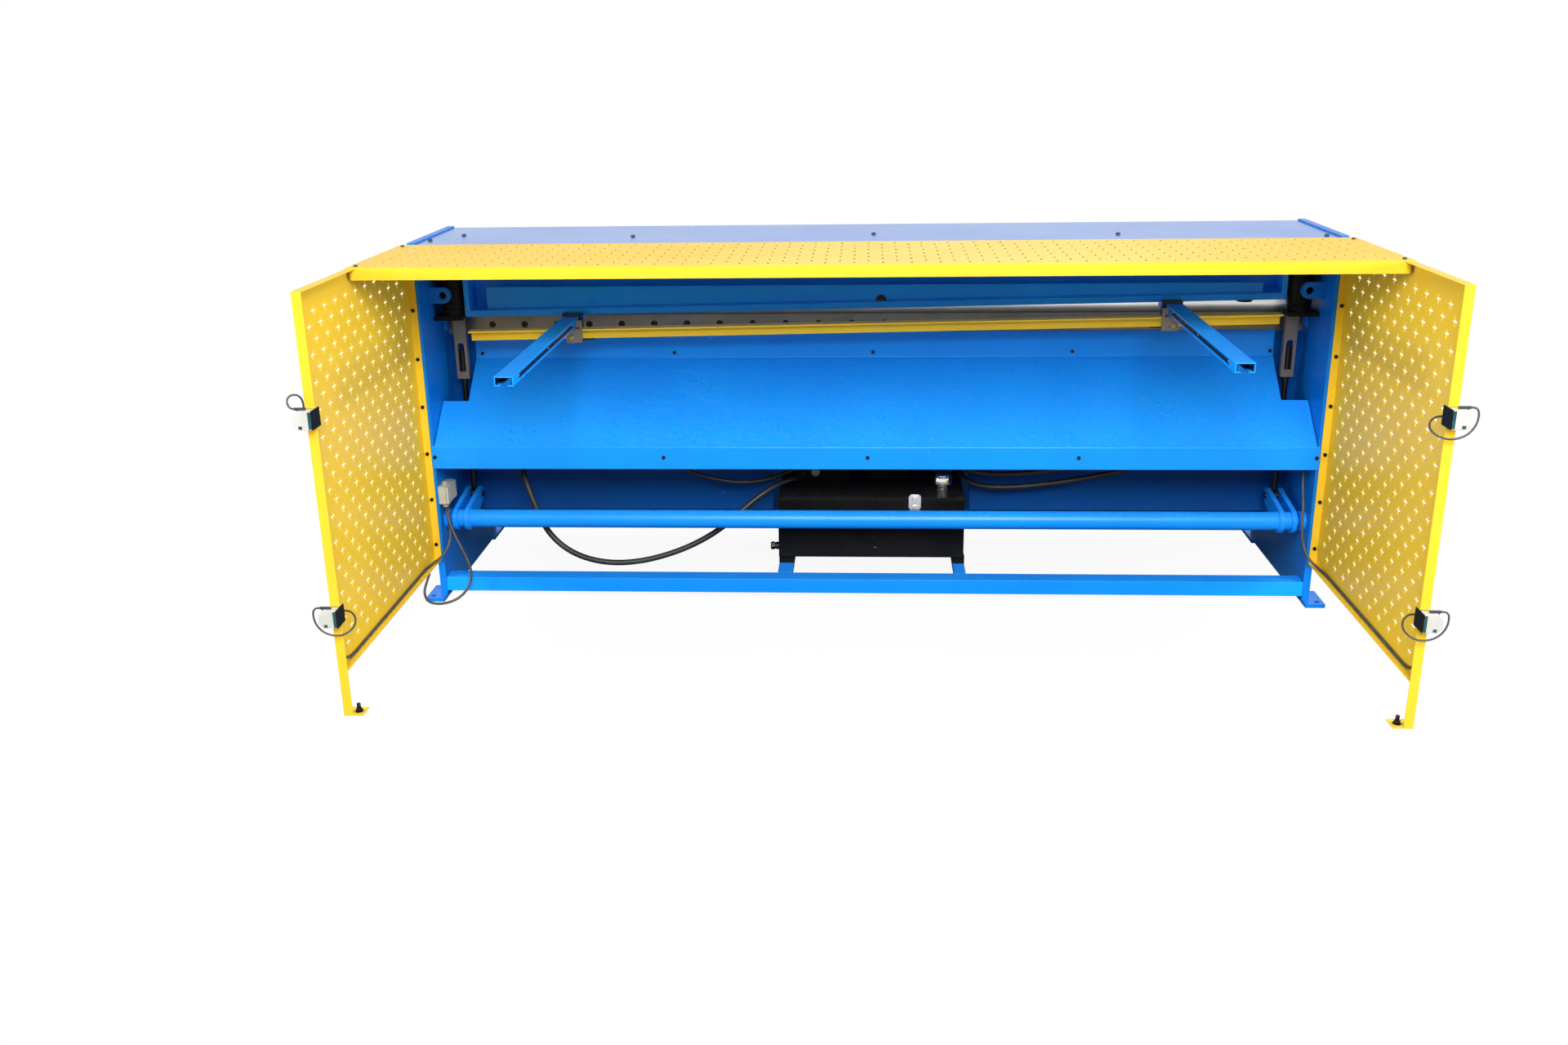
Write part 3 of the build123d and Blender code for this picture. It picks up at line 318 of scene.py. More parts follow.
@dataclass(frozen=True)
class Paint(Finish):
    """Sprayed machine paint: orange peel, uneven cover, a little dust on top and a few fine scuffs."""

    name: str
    colour: Colour
    deep: Colour
    roughness: float = 0.3
    peel: float = 0.07
    dust: float = 0.06
    scuffs: float = 0.25
    gloss: float = 0.5
    dust_colour: Colour = (0.62, 0.6, 0.55, 1)
    scuff_colour: Colour = (0.72, 0.74, 0.78, 1)
    peel_depth: float = 0.0006

    def build(self, sheet: NodeSheet) -> bpy.types.Material:
        """Fills the sheet with the paint's nodes."""
        cloud = sheet.noise(3.1, 4.0)
        colour = sheet.mix(sheet.remap(cloud, 0.36, 0.66), self.colour, self.deep)
        grain = sheet.noise(95, 5.0)
        dust = sheet.upward() * sheet.remap(grain, 0.4, 0.75) * self.dust
        colour = sheet.mix(dust, colour, self.dust_colour)
        streak = sheet.noise(26, 3.0, (1, 9, 2.4))
        scuff = sheet.remap(streak, 0.71, 0.78) * sheet.remap(grain, 0.5, 0.62)
        colour = sheet.mix(scuff * self.scuffs, colour, self.scuff_colour)
        roughness = self.roughness + (cloud - 0.5) * 0.16 + dust * 1.6 + scuff * 0.2
        peel = sheet.noise(430, 1.5) + sheet.noise(38, 2.0) * 0.8
        normal = sheet.bump(peel, self.peel, self.peel_depth)
        return sheet.surface(Base_Color=colour, Roughness=roughness, Normal=normal,
                             Specular_IOR_Level=self.gloss)


@dataclass(frozen=True)
class Steel(Finish):
    """Bare steel with drawn grinding lines, faint stains and scratches."""

    name: str
    colour: Colour
    stain: Colour
    roughness: float = 0.3
    lines: Point = (2, 260, 260)
    depth: float = 0.25
    metallic: float = 1.0
    line_depth: float = 0.0003

    def build(self, sheet: NodeSheet) -> bpy.types.Material:
        """Fills the sheet with the steel's nodes."""
        drawn = sheet.noise(3.0, 3.0, self.lines)
        cloud = sheet.noise(7.0, 5.0)
        fleck = sheet.remap(sheet.noise(120, 4.0), 0.6, 0.75)
        colour = sheet.mix(sheet.remap(cloud, 0.45, 0.7) * 0.6 + fleck * 0.2, self.colour, self.stain)
        roughness = self.roughness + (drawn - 0.5) * 0.24 + fleck * 0.14
        normal = sheet.bump(drawn + fleck * 0.2, self.depth, self.line_depth)
        return sheet.surface(Base_Color=colour, Roughness=roughness, Metallic=self.metallic,
                             Normal=normal)


@dataclass(frozen=True)
class Moulded(Finish):
    """Moulded plastic or rubber: a fine pebbled skin with a slight bloom."""

    name: str
    colour: Colour
    bloom: Colour
    roughness: float = 0.5
    pebble: float = 520.0
    depth: float = 0.2
    pebble_depth: float = 0.0004

    def build(self, sheet: NodeSheet) -> bpy.types.Material:
        """Fills the sheet with the skin's nodes."""
        cloud = sheet.noise(24, 4.0)
        colour = sheet.mix(sheet.remap(cloud, 0.4, 0.75), self.colour, self.bloom)
        skin = sheet.noise(self.pebble, 2.0)
        roughness = self.roughness + (cloud - 0.5) * 0.2
        normal = sheet.bump(skin, self.depth, self.pebble_depth)
        return sheet.surface(Base_Color=colour, Roughness=roughness, Normal=normal)


@dataclass(frozen=True)
class Pane(Finish):
    """A small dark lens or sight window with a faint haze."""

    name: str
    colour: Colour
    haze: Colour
    roughness: float = 0.08

    def build(self, sheet: NodeSheet) -> bpy.types.Material:
        """Fills the sheet with the pane's nodes."""
        haze = sheet.remap(sheet.noise(140, 3.0), 0.45, 0.8)
        colour = sheet.mix(haze * 0.5, self.colour, self.haze)
        return sheet.surface(Base_Color=colour, Roughness=self.roughness + haze * 0.15,
                             Coat_Weight=haze * 0.3 + 0.5)


BLUE = Paint("blue_gloss_paint", (0.005, 0.29, 0.97, 1), (0.004, 0.262, 0.93, 1), 0.3, gloss=0.25)
# A darker copy of the blue paint for the side plates, feet and lugs: painted shade.
SHADED_SIDE_BLUE = Paint("side_blue_painted_shade", (0.003, 0.175, 0.62, 1), (0.002, 0.155, 0.56, 1), 0.32, gloss=0.22)
# A much darker copy of the blue paint for the bed under the chute: painted shade.
SHADED_BED_BLUE = Paint("bed_blue_painted_shade", (0.002, 0.075, 0.31, 1), (0.002, 0.065, 0.28, 1), 0.34, gloss=0.15)
COVER_BLUE = Paint("cover_blue_paint", (0.003, 0.17, 0.62, 1), (0.002, 0.15, 0.56, 1),
                   0.16, dust=0.02, gloss=0.3)
YELLOW = Paint("guard_yellow_paint", (0.8, 0.525, 0.028, 1), (0.77, 0.49, 0.025, 1), 0.38, dust=0.03,
               scuffs=0.12, gloss=0.2)
GAUGE_YELLOW = Paint("gauge_yellow_paint", (0.95, 0.66, 0.03, 1), (0.92, 0.62, 0.025, 1), 0.34, scuffs=0.3)
BLACK = Paint("hydraulic_black_paint", (0.006, 0.006, 0.007, 1), (0.01, 0.01, 0.011, 1),
              0.3, dust=0.06, gloss=0.06)
BLADE = Steel("ground_blade_steel", (0.55, 0.55, 0.53, 1), (0.36, 0.35, 0.31, 1), 0.3)
# A dark, yellowish copy of the blade steel: painted shade on the lower blade and a painted reflection of the
# yellow guard.
BLADE_SHADE_AND_REFLECTION = Steel("worn_blade_steel", (0.25, 0.235, 0.19, 1), (0.13, 0.12, 0.09, 1), 0.42, metallic=0.7)
TABLE = Steel("planed_table_steel", (0.5, 0.5, 0.49, 1), (0.33, 0.32, 0.3, 1), 0.36, (260, 3, 260))
LINK = Steel("rolled_link_steel", (0.24, 0.225, 0.2, 1), (0.13, 0.115, 0.1, 1), 0.45, (90, 90, 6), 0.4, 0.8)
ROD = Steel("plated_rod_steel", (0.7, 0.7, 0.71, 1), (0.5, 0.5, 0.5, 1), 0.14, (40, 40, 300), 0.08)
CHROME = Steel("bright_chrome", (0.82, 0.83, 0.85, 1), (0.66, 0.67, 0.69, 1), 0.07, (60, 60, 60), 0.05)
NICKEL = Steel("satin_nickel", (0.86, 0.87, 0.88, 1), (0.74, 0.75, 0.77, 1), 0.34, (60, 60, 60), 0.08, 0.6)
BRASS = Steel("yellow_zinc", (0.72, 0.52, 0.22, 1), (0.5, 0.38, 0.18, 1), 0.28, (90, 90, 90), 0.15)
OXIDE = Steel("black_oxide_steel", (0.035, 0.034, 0.033, 1), (0.06, 0.052, 0.045, 1),
              0.42, (120, 120, 120), 0.3)
RUBBER = Moulded("hose_rubber_skin", (0.012, 0.012, 0.013, 1), (0.03, 0.03, 0.031, 1), 0.46, 640, 0.35)
LEAD = Moulded("lead_sheath", (0.04, 0.042, 0.045, 1), (0.075, 0.077, 0.08, 1), 0.5, 700, 0.2)
GLAND = Moulded("gland_plastic", (0.34, 0.34, 0.3, 1), (0.27, 0.27, 0.24, 1), 0.5)
BOX = Moulded("box_plastic", (0.46, 0.46, 0.4, 1), (0.38, 0.38, 0.33, 1), 0.48)
SENSOR = Moulded("sensor_plastic", (0.52, 0.52, 0.48, 1), (0.46, 0.46, 0.42, 1), 0.42, 420, 0.12)
BRACKET = Paint("bracket_black_paint", (0.012, 0.013, 0.014, 1), (0.009, 0.01, 0.011, 1),
                0.55, dust=0.02, gloss=0.05)
DARK_PLASTIC = Moulded("dark_plastic", (0.02, 0.022, 0.026, 1), (0.035, 0.037, 0.04, 1), 0.44)
LENS = Pane("sensor_lens", (0.01, 0.06, 0.07, 1), (0.03, 0.12, 0.13, 1))
SIGHT = Pane("sight_window", (0.5, 0.46, 0.3, 1), (0.75, 0.72, 0.6, 1))
KNOB_BLUE = Moulded("knob_blue", (0.05, 0.2, 0.62, 1), (0.04, 0.16, 0.5, 1), 0.35)


class Shape:
    """A mesh under construction, in the layout's millimetres."""

    def __init__(self) -> None:
        """Starts an empty mesh."""
        self.mesh = bmesh.new()

    def face(self, corners: list) -> None:
        """Adds one face through vertices or points."""
        verts = [c if isinstance(c, bmesh.types.BMVert) else self.mesh.verts.new(c) for c in corners]
        self.mesh.faces.new(verts)

    def loops(self, rings: list[list[Vector]], closed: bool = False) -> None:
        """Joins rings of equally many points by quads and caps both ends.

        Args:
            rings: The rings, in order.
            closed: True if the last ring joins the first and nothing is capped.
        """
        made = [[self.mesh.verts.new(p) for p in ring] for ring in rings]
        pairs = list(zip(made, made[1:])) + ([(made[-1], made[0])] if closed else [])
        count = len(made[0])
        for low, high in pairs:
            for i in range(count):
                j = (i + 1) % count
                self.mesh.faces.new((low[i], low[j], high[j], high[i]))
        if not closed:
            self.mesh.faces.new(list(reversed(made[0])))
            self.mesh.faces.new(made[-1])

    def block(self, x: Range, y: Range, z: Range) -> None:
        """A block between two limits on each axis."""
        self.loops([[Vector((a, b, h)) for a, b in rectangle(x, y)] for h in z])

    def prism(self, outline: list[Range], depth: float, where: Matrix) -> None:
        """A straight bar with the given outline.

        Args:
            outline: Its corners in the frame's own x and y.
            depth: How far it runs along the frame's z.
            where: The frame.
        """
        self.loops([[where @ Vector((u, v, h)) for u, v in outline] for h in (0, depth)])

    def turned(self, profile: list[Range], where: Matrix, steps: int = 28, closed: bool = False) -> None:
        """A turned body.

        Args:
            profile: Radius and height of each ring, none of them zero.
            where: The frame whose z is its axis.
            steps: How many facets go round.
            closed: True for a ring whose last circle joins its first.
        """
        self.loops([ring(where, [radius] * steps, height) for radius, height in profile], closed)

    def ribbed(self, levels: list[Point], where: Matrix, steps: int, every: int) -> None:
        """A turned body with ribs along its axis.

        Args:
            levels: Radius, height and depth between the ribs of each ring.
            where: The frame whose z is its axis.
            steps: How many corners go round.
            every: One corner in this many is a rib.
        """
        rings = []
        for radius, height, deep in levels:
            radii = [radius - (deep if i % every else 0) for i in range(steps)]
            rings.append(ring(where, radii, height))
        self.loops(rings)

    def hexagon(self, across: float, low: float, high: float, where: Matrix) -> None:
        """A hexagonal nut or bolt head with a chamfered rim.

        Args:
            across: Its width across the flats.
            low: Where it starts along the frame's z.
            high: Where it ends.
            where: The frame.
        """
        corner = across / math.sqrt(3)
        cut = (high - low) * 0.18
        self.turned([(corner, low), (corner, high - cut), (across * 0.49, high)], where, 6)

    def socket_screw(self, where: Matrix, radius: float, height: float) -> None:
        """A round head with a hexagonal socket.

        Args:
            where: The frame that stands on the surface.
            radius: The head's radius.
            height: The head's height.
        """
        steps = 24
        turns = [2 * math.pi * i / steps for i in range(steps)]
        flat = radius * 0.42
        hexed = [flat / math.cos((t % (math.pi / 3)) - math.pi / 6) for t in turns]
        levels = [([radius] * steps, 0.0), ([radius] * steps, height * 0.55),
                  ([radius * 0.86] * steps, height), (hexed, height), (hexed, height * 0.4)]
        self.loops([ring(where, radii, level) for radii, level in levels])

    def washer(self, where: Matrix, radius: float, bore: float, height: float) -> None:
        """A flat washer that stands on the surface."""
        self.turned([(bore, 0), (radius, 0), (radius, height), (bore, height)], where, closed=True)

    def piece(self, name: str, finish: Finish, slot: Slot, body: Body = Body.FRAME,
              replaces: tuple[str, ...] = (), edge: float = 0.0) -> bpy.types.Object:
        """Ends the mesh and makes it a piece of the machine.

        Args:
            name: The piece's name.
            finish: Its surface finish.
            slot: The record's slot that the finish stands for.
            body: The body it rides on.
            replaces: The nodes it stands for.
            edge: The width of its broken edges in millimetres, or 0.

        Returns:
            The new object.
        """
        bmesh.ops.recalc_face_normals(self.mesh, faces=self.mesh.faces)
        for vertex in self.mesh.verts:
            vertex.co = at(*vertex.co)
        mesh = bpy.data.meshes.new(name)
        self.mesh.to_mesh(mesh)
        self.mesh.free()
        mesh.materials.append(finish.material())
        mesh.shade_smooth()
        mesh.set_sharp_from_angle(angle=SHARP_ANGLE)
        made = show(name, mesh)
        if edge:
            break_edges(made, edge)
        return settle(made, body, replaces)


def break_edges(piece: bpy.types.Object, width: float) -> None:
    """Rounds a piece's sharp edges.

    Args:
        piece: The object.
        width: The edge's width in millimetres.
    """
    bevel = piece.modifiers.new("broken_edges", "BEVEL")
    bevel.limit_method = "ANGLE"
    bevel.angle_limit = SHARP_ANGLE
    bevel.width = width * MM
    bevel.segments = EDGE_FACETS
    bevel.use_clamp_overlap = True
    piece.modifiers.new("even_normals", "WEIGHTED_NORMAL")


def settle(made: bpy.types.Object, body: Body, replaces: tuple[str, ...]) -> bpy.types.Object:
    """Tells the frame what a piece rides on and the nodes it stands for.

    Args:
        made: The object.
        body: The body it rides on.
        replaces: The nodes it stands for.

    Returns:
        The same object.
    """
    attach(made, body.value)
    if replaces:
        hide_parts(*replaces)
    LOG.info("built %s on %s", made.name, body.value)
    return made


def dress(nodes: tuple[str, ...], finish: Finish, edge: float = 0.0) -> None:
    """Gives the frame's own nodes their finish and broken edges.

    Args:
        nodes: The nodes' names.
        finish: Their finish.
        edge: The width of their broken edges in millimetres, or 0.
    """
    for name in nodes:
        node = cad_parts[name]
        node.data.materials.clear()
        node.data.materials.append(finish.material())
        if edge:
            weld = node.modifiers.new("weld", "WELD")
            weld.merge_threshold = WELD_REACH
            flat = node.modifiers.new("flat_faces", "DECIMATE")
            flat.decimate_type = "DISSOLVE"
            flat.angle_limit = FLAT_ANGLE
            break_edges(node, edge)
        LOG.info("dressed %s with %s", name, finish.name)


@dataclass
class HoledSheet:
    """A sheet with a lattice of holes, built from cells that share their corners."""

    size: Range
    thickness: float
    start: Range
    step: Range
    count: tuple[int, int]
    hole: list[Range]
    first_row: int = 0
    staggered: bool = True

    def grid(self, axis: int) -> list[float]:
        """The lattice lines along one axis, with the sheet's own edges."""
        lines = [self.start[axis] + i * self.step[axis] for i in range(self.count[axis] + 1)]
        return [0.0, *lines, self.size[axis]]

    def build(self, shape: Shape, where: Matrix) -> None:
        """Adds the sheet to a shape.

        Args:
            shape: The mesh under construction.
            where: The frame of the sheet's lower left corner, with z through its thickness.
        """
        across, along = self.grid(0), self.grid(1)
        corner = {}
        for level in (0, 1):
            for i, u in enumerate(across):
                for j, v in enumerate(along):
                    spot = where @ Vector((u, v, level * self.thickness))
                    corner[level, i, j] = shape.mesh.verts.new(spot)
        holes = self.holes()
        for i in range(len(across) - 1):
            for j in range(len(along) - 1):
                if (i, j) in holes:
                    self.cell(shape, where, corner, i, j)
                elif (i - 1, j) not in holes:
                    for level in (0, 1):
                        spots = rectangle((i, i + 1), (j, j + 1))
                        shape.face([corner[level, a, b] for a, b in spots])
        self.rim(shape, corner, len(across) - 1, len(along) - 1)

    def holes(self) -> set[tuple[int, int]]:
        """The lattice places where a cell of two steps starts."""
        found = set()
        for j in range(1, self.count[1] + 1):
            shift = (j + self.first_row) % 2 if self.staggered else 0
            found.update((i, j) for i in range(1 + shift, self.count[0], 2))
        return found

    def cell(self, shape: Shape, where: Matrix, corner: dict, i: int, j: int) -> None:
        """Adds one cell, two steps wide, with its hole.

        Args:
            shape: The mesh under construction.
            where: The sheet's frame.
            corner: The lattice's vertices.
            i: The cell's place across.
            j: The cell's place along.
        """
        across, along = self.grid(0), self.grid(1)
        ring = [(i, j), (i + 1, j), (i + 2, j), (i + 2, j + 1), (i + 1, j + 1), (i, j + 1)]
        outer = [Vector((across[a], along[b], 0)) for a, b in ring]
        middle = ((across[i] + across[i + 2]) / 2, (along[j] + along[j + 1]) / 2)
        inner = [Vector((middle[0] + u, middle[1] + v, 0)) for u, v in self.hole]
        rims = []
        for level in (0, 1):
            lift = Vector((0, 0, level * self.thickness))
            rim = [shape.mesh.verts.new(where @ (p + lift)) for p in inner]
            verts = [corner[level, a, b] for a, b in ring] + rim
            for triangle in tessellate_polygon([outer, inner]):
                shape.mesh.faces.new([verts[k] for k in triangle])
            rims.append(rim)
        for k in range(len(inner)):
            n = (k + 1) % len(inner)
            shape.mesh.faces.new((rims[0][k], rims[0][n], rims[1][n], rims[1][k]))

    def rim(self, shape: Shape, corner: dict, last_i: int, last_j: int) -> None:
        """Closes the sheet's outer edge."""
        path = [(i, 0) for i in range(last_i)] + [(last_i, j) for j in range(last_j)]
        path += [(i, last_j) for i in range(last_i, 0, -1)] + [(0, j) for j in range(last_j, 0, -1)]
        for a, b in zip(path, path[1:] + path[:1]):
            shape.mesh.faces.new((corner[0, *a], corner[0, *b], corner[1, *b], corner[1, *a]))


def cross_outline(reach: float, half: float, inner: float) -> list[Range]:
    """The outline of a cross-shaped hole whose arms taper.

    Args:
        reach: From its middle to the end of an arm.
        half: Half the width of an arm's end.
        inner: From its middle to the corners between the arms, on both axes.

    Returns:
        Its twelve corners.
    """
    arm = [(half, reach), (-half, reach), (-inner, inner)]
    outline = []
    for quarter in range(4):
        c, s = (1, 0, -1, 0)[quarter], (0, 1, 0, -1)[quarter]
        outline += [(u * c - v * s, u * s + v * c) for u, v in arm]
    return outline


def round_outline(radius: float, steps: int) -> list[Range]:
    """The outline of a round hole."""
    turns = [2 * math.pi * i / steps for i in range(steps)]
    return [(radius * math.cos(t), radius * math.sin(t)) for t in turns]


@dataclass
class Guards:
    """The punched yellow guards with their screws and floor anchors."""

    half: float = 1341
    sheet: float = 2.5
    flange: float = 24
    depth: float = 830
    low: float = 125
    top: float = 1090
    foot: float = 50
    roof_y: Range = (-473, -20)
    roof_lip: float = 32
    lip_gap: float = 1.5
    cross: Point = (13, 2.0, 2.9)
    step: Range = (36.5, 34.2)
    side_start: Range = (18.5, 29.7)
    side_count: tuple[int, int] = (21, 26)
    roof_start: Range = (27.0, 25.1)
    roof_count: tuple[int, int] = (72, 12)
    tab_x: Range = (1315.5, 1329)
    tab_z: Range = (1060.5, 1087)
    screw_x: float = 1329
    screw_z: tuple[float, ...] = (900, 755, 610, 465, 320, 175)
    screw: Head = (5.6, 4.6)
    roof_screw: Head = (5.6, 4.2)
    roof_screw_x: float = 1322
    roof_screw_y: Range = (-60, -445)
    anchor: Range = (1309, -806)

    def build(self) -> None:
        """Builds the guards with their screws and anchors."""
        hole = cross_outline(*self.cross)
        for side in Side:
            self.side_guard(side, hole)
        self.top_guard(hole)
        self.screws()
        self.anchors()

    def side_guard(self, side: Side, hole: list[Range]) -> None:
        """Builds one side guard.

        Args:
            side: The end of the machine.
            hole: The outline of its holes.
        """
        shape = Shape()
        outer = side.value * self.half
        where = Matrix.Translation(Vector((outer - (side.value + 1) / 2 * self.sheet, 0, self.low)))
        where @= Matrix(((0, 0, 1, 0), (-1, 0, 0, 0), (0, 1, 0, 0), (0, 0, 0, 1)))
        long = self.depth - self.sheet
        panel = HoledSheet((long, self.top - self.low), self.sheet, self.side_start, self.step,
                           self.side_count, hole)
        panel.build(shape, where)
        inner = self.half - self.flange
        wide = span(side, inner, self.half - self.sheet)
        rear = -self.depth
        near = rear + self.sheet
        shape.block(wide, (near, 0), (self.top - self.sheet, self.top))
        shape.block(wide, (near, 0), (self.low, self.low + self.sheet))
        shape.block(wide, (-self.sheet, 0), (self.low + self.sheet, self.top - self.sheet))
        shape.block(span(side, inner, self.half), (rear, near), (self.sheet, self.top))
        post = span(side, self.half - self.sheet, self.half)
        shape.block(post, (near, rear + self.flange), (self.sheet, self.low))
        tab = span(side, self.half - self.foot, self.half)
        shape.block(tab, (rear, rear + self.foot), (0, self.sheet))
        name = side.name.lower()
        shape.piece(f"punched_guard_{name}", YELLOW, Slot.YELLOW, replaces=(f"side_guard_{name}",), edge=0.6)

    def top_guard(self, hole: list[Range]) -> None:
        """Builds the top guard with its lip."""
        shape = Shape()
        low_y, high_y = self.roof_y
        where = Matrix.Translation(Vector((-self.half, low_y, self.top)))
        sheet = HoledSheet((2 * self.half, high_y - low_y), self.sheet, self.roof_start, self.step,
                           self.roof_count, hole, 1)
        sheet.build(shape, where)
        lip = self.half - self.flange - self.lip_gap
        lip_z = (self.top + self.sheet - self.roof_lip, self.top)
        shape.block((-lip, lip), (low_y, low_y + self.sheet), lip_z)
        for side in Side:
            shape.block(span(side, *self.tab_x), (low_y, low_y + self.sheet), self.tab_z)
        shape.piece("punched_top_guard", YELLOW, Slot.YELLOW, replaces=("top_guard",), edge=0.6)

    def screws(self) -> None:
        """Builds the screws on the guards' flanges."""
        shape = Shape()
        for side in Side:
            for z in self.screw_z:
                spot = (side.value * self.screw_x, -self.sheet, z)
                shape.socket_screw(place(spot, (0, -1, 0)), *self.screw)
            for y in self.roof_screw_y:
                spot = (side.value * self.roof_screw_x, y, self.top + self.sheet)
                shape.socket_screw(place(spot, (0, 0, 1)), *self.roof_screw)
        shape.piece("guard_screws", OXIDE, Slot.DARK)

    def anchors(self) -> None:
        """Builds the anchor bolt on each guard's foot."""
        shape = Shape()
        for side in Side:
            where = place((side.value * self.anchor[0], self.anchor[1], self.sheet), (0, 0, 1))
            shape.washer(where, 11, 5, 1.8)
            shape.hexagon(15, 1.8, 9, where)
            shape.turned([(5, 9), (5, 21), (4.2, 22.5)], where, 18)
        shape.piece("guard_anchors", OXIDE, Slot.DARK)


@dataclass
class Housing:
    """The plates, covers, chute, beams and table with their screws."""

    cover_top: float = 1090
    cover_at: tuple[Range, ...] = ((-1287, 90), (-1217, 201), (-695, 147), (15, 158), (715, 111), (1280, 37))
    lip_x: tuple[float, ...] = (-1306, -610, 0, 620, 1306)
    lip_z: float = 455
    strip_x: tuple[float, ...] = (-1207, -601, 15, 624, 1217)
    strip_z: float = 719
    chute_rear: float = -4
    strip_y: float = 258
    cover_screw: Head = (6.5, 5)
    chute_screw: Head = (5.6, 4.6)

    def build(self) -> None:
        """Builds the screws and dresses the plates."""
        # The side plates, feet and lugs take the darker blue copy, which paints their shade.
        dress(("side_plate_left", "side_plate_right", "foot_plates", "end_lugs"), SHADED_SIDE_BLUE, 1.5)
        dress(("bottom_beam", "tank_bars", "hold_down_beam", "bed_front_plate"), BLUE, 1.5)
        dress(("chute",), BLUE, 3)
        dress(("guide_strips",), BLUE)
        dress(("top_cover", "front_cover"), COVER_BLUE, 1.2)
        # The bed's rear plate and ribs take the darkest blue copy, which paints their shade.
        dress(("bed_rear_plate", "bed_ribs"), SHADED_BED_BLUE, 1.5)
        dress(("finger_guard",), YELLOW, 0.8)
        dress(("table_top",), TABLE, 0.8)
        self.screws()

    def screws(self) -> None:
        """Builds the screws of the covers and the chute."""
        shape = Shape()
        for x, y in self.cover_at:
            shape.socket_screw(place((x, y, self.cover_top), (0, 0, 1)), *self.cover_screw)
        for x in self.lip_x:
            shape.socket_screw(place((x, self.chute_rear, self.lip_z), (0, -1, 0)), *self.chute_screw)
        for x in self.strip_x:
            shape.socket_screw(place((x, self.strip_y, self.strip_z), (0, -1, 0)), *self.chute_screw)
        shape.piece("cover_screws", OXIDE, Slot.DARK)


@dataclass
class Blades:
    """The lower blade with its counterbored screws, and the upper blade."""

    half: float = 1308
    rear: float = 262
    thick: float = 20
    low: float = 780
    high: float = 838
    screw_z: float = 809
    first_x: float = -1169
    pitch: float = 101.65
    count: int = 24
    bore: float = 10.5
    cell: float = 28
    screw: Head = (9, 9)
    screw_depth: float = 12

    def build(self) -> None:
        """Builds the lower blade and its screws, and dresses the upper blade."""
        shape = Shape()
        where = Matrix.Translation(Vector((-self.half, self.rear + self.thick, self.low)))
        where @= Matrix(((1, 0, 0, 0), (0, 0, -1, 0), (0, 1, 0, 0), (0, 0, 0, 1)))
        start = (self.first_x - self.pitch / 2 + self.half, self.screw_z - self.low - self.cell / 2)
        step = (self.pitch / 2, self.cell)
        cells = HoledSheet((2 * self.half, self.high - self.low), self.thick, start, step,
                           (2 * self.count, 1), round_outline(self.bore, 24), staggered=False)
        cells.build(shape, where)
        # The lower blade's bar takes the steel with painted shade and a painted yellow reflection.
        shape.piece("lower_blade_bar", BLADE_SHADE_AND_REFLECTION, Slot.BLADE, replaces=("lower_blade",))
        screws = Shape()
        for i in range(self.count):
            spot = (self.first_x + i * self.pitch, self.rear + self.screw_depth, self.screw_z)
            screws.socket_screw(place(spot, (0, -1, 0)), *self.screw)
        screws.piece("lower_blade_screws", OXIDE, Slot.DARK)
        dress(("upper_blade",), BLADE, 0.5)


@dataclass
class Ram:
    """The ram with its links, rods and rails."""

    bolt: Point = (38, 150, 899)
    rail_x: float = 888
    rail_half: float = 24
    rail_rake: float = 0.0165
    rail_top: float = 875.5
    rail_screw: Head = (4.6, 7)
    rail_screw_y: tuple[float, ...] = (-634, -300, 24)
    rail_screw_in: float = 9
    rail_screw_down: float = 12.5
    # Where the dark liners that paint the shade inside the rails lie.
    shade_liner_y: Range = (-708, 200)
    shade_liner_down: Range = (3.2, 21.8)
    shade_liner_wall: float = 0.8

    def build(self) -> None:
        """Dresses the ram's nodes and builds its bolt, the rails' screws and the dark liners that paint the
        shade inside the rails.
        """
        dress(("ram_beam", "ram_arms"), BLUE, 2.5)
        dress(("gauge_rails",), BLUE, 1)
        dress(("link_bars",), LINK, 1.2)
        dress(("piston_rods",), ROD)
        dress(("link_rods",), OXIDE)
        shape = Shape()
        where = place(self.bolt, (0, -1, 0), 0.3)
        shape.washer(where, 15, 6, 2.5)
        shape.hexagon(19, 2.5, 12, where)
        shape.piece("ram_bolt", OXIDE, Slot.DARK, Body.RAM)
        self.rail_screws()
        self.rail_shade_liners()

    def rail_screws(self) -> None:
        """Builds the small screws inside the rails' side slots."""
        shape = Shape()
        for side in Side:
            z = self.rail_top + self.rail_rake * side.value * self.rail_x - self.rail_screw_down
            x = side.value * (self.rail_x - self.rail_half + self.rail_screw_in)
            for y in self.rail_screw_y:
                shape.socket_screw(place((x, y, z), (-side.value, 0, 0)), *self.rail_screw)
        shape.piece("rail_screws", BRASS, Slot.BRIGHT, Body.RAM)

    def rail_shade_liners(self) -> None:
        """Builds a thin dark sheet inside each rail, which shows in its side slot and at its end and paints
        the shade there.
        """
        shape = Shape()
        low_y, high_y = self.shade_liner_y
        for side in Side:
            top = self.rail_top + self.rail_rake * side.value * self.rail_x
            x = side.value * self.rail_x
            inner, wall = self.rail_half - self.shade_liner_down[0], self.shade_liner_wall
            high, low = (top - down for down in self.shade_liner_down)
            outline = [(-inner, low), (-inner, high), (inner, high), (inner, low), (inner - wall, low),
                       (inner - wall, high - wall), (-inner + wall, high - wall), (-inner + wall, low)]
            shape.loops([[Vector((x + u, y, z)) for u, z in outline] for y in (low_y, high_y)])
        shape.piece("rail_shade_liners", OXIDE, Slot.DARK, Body.RAM)


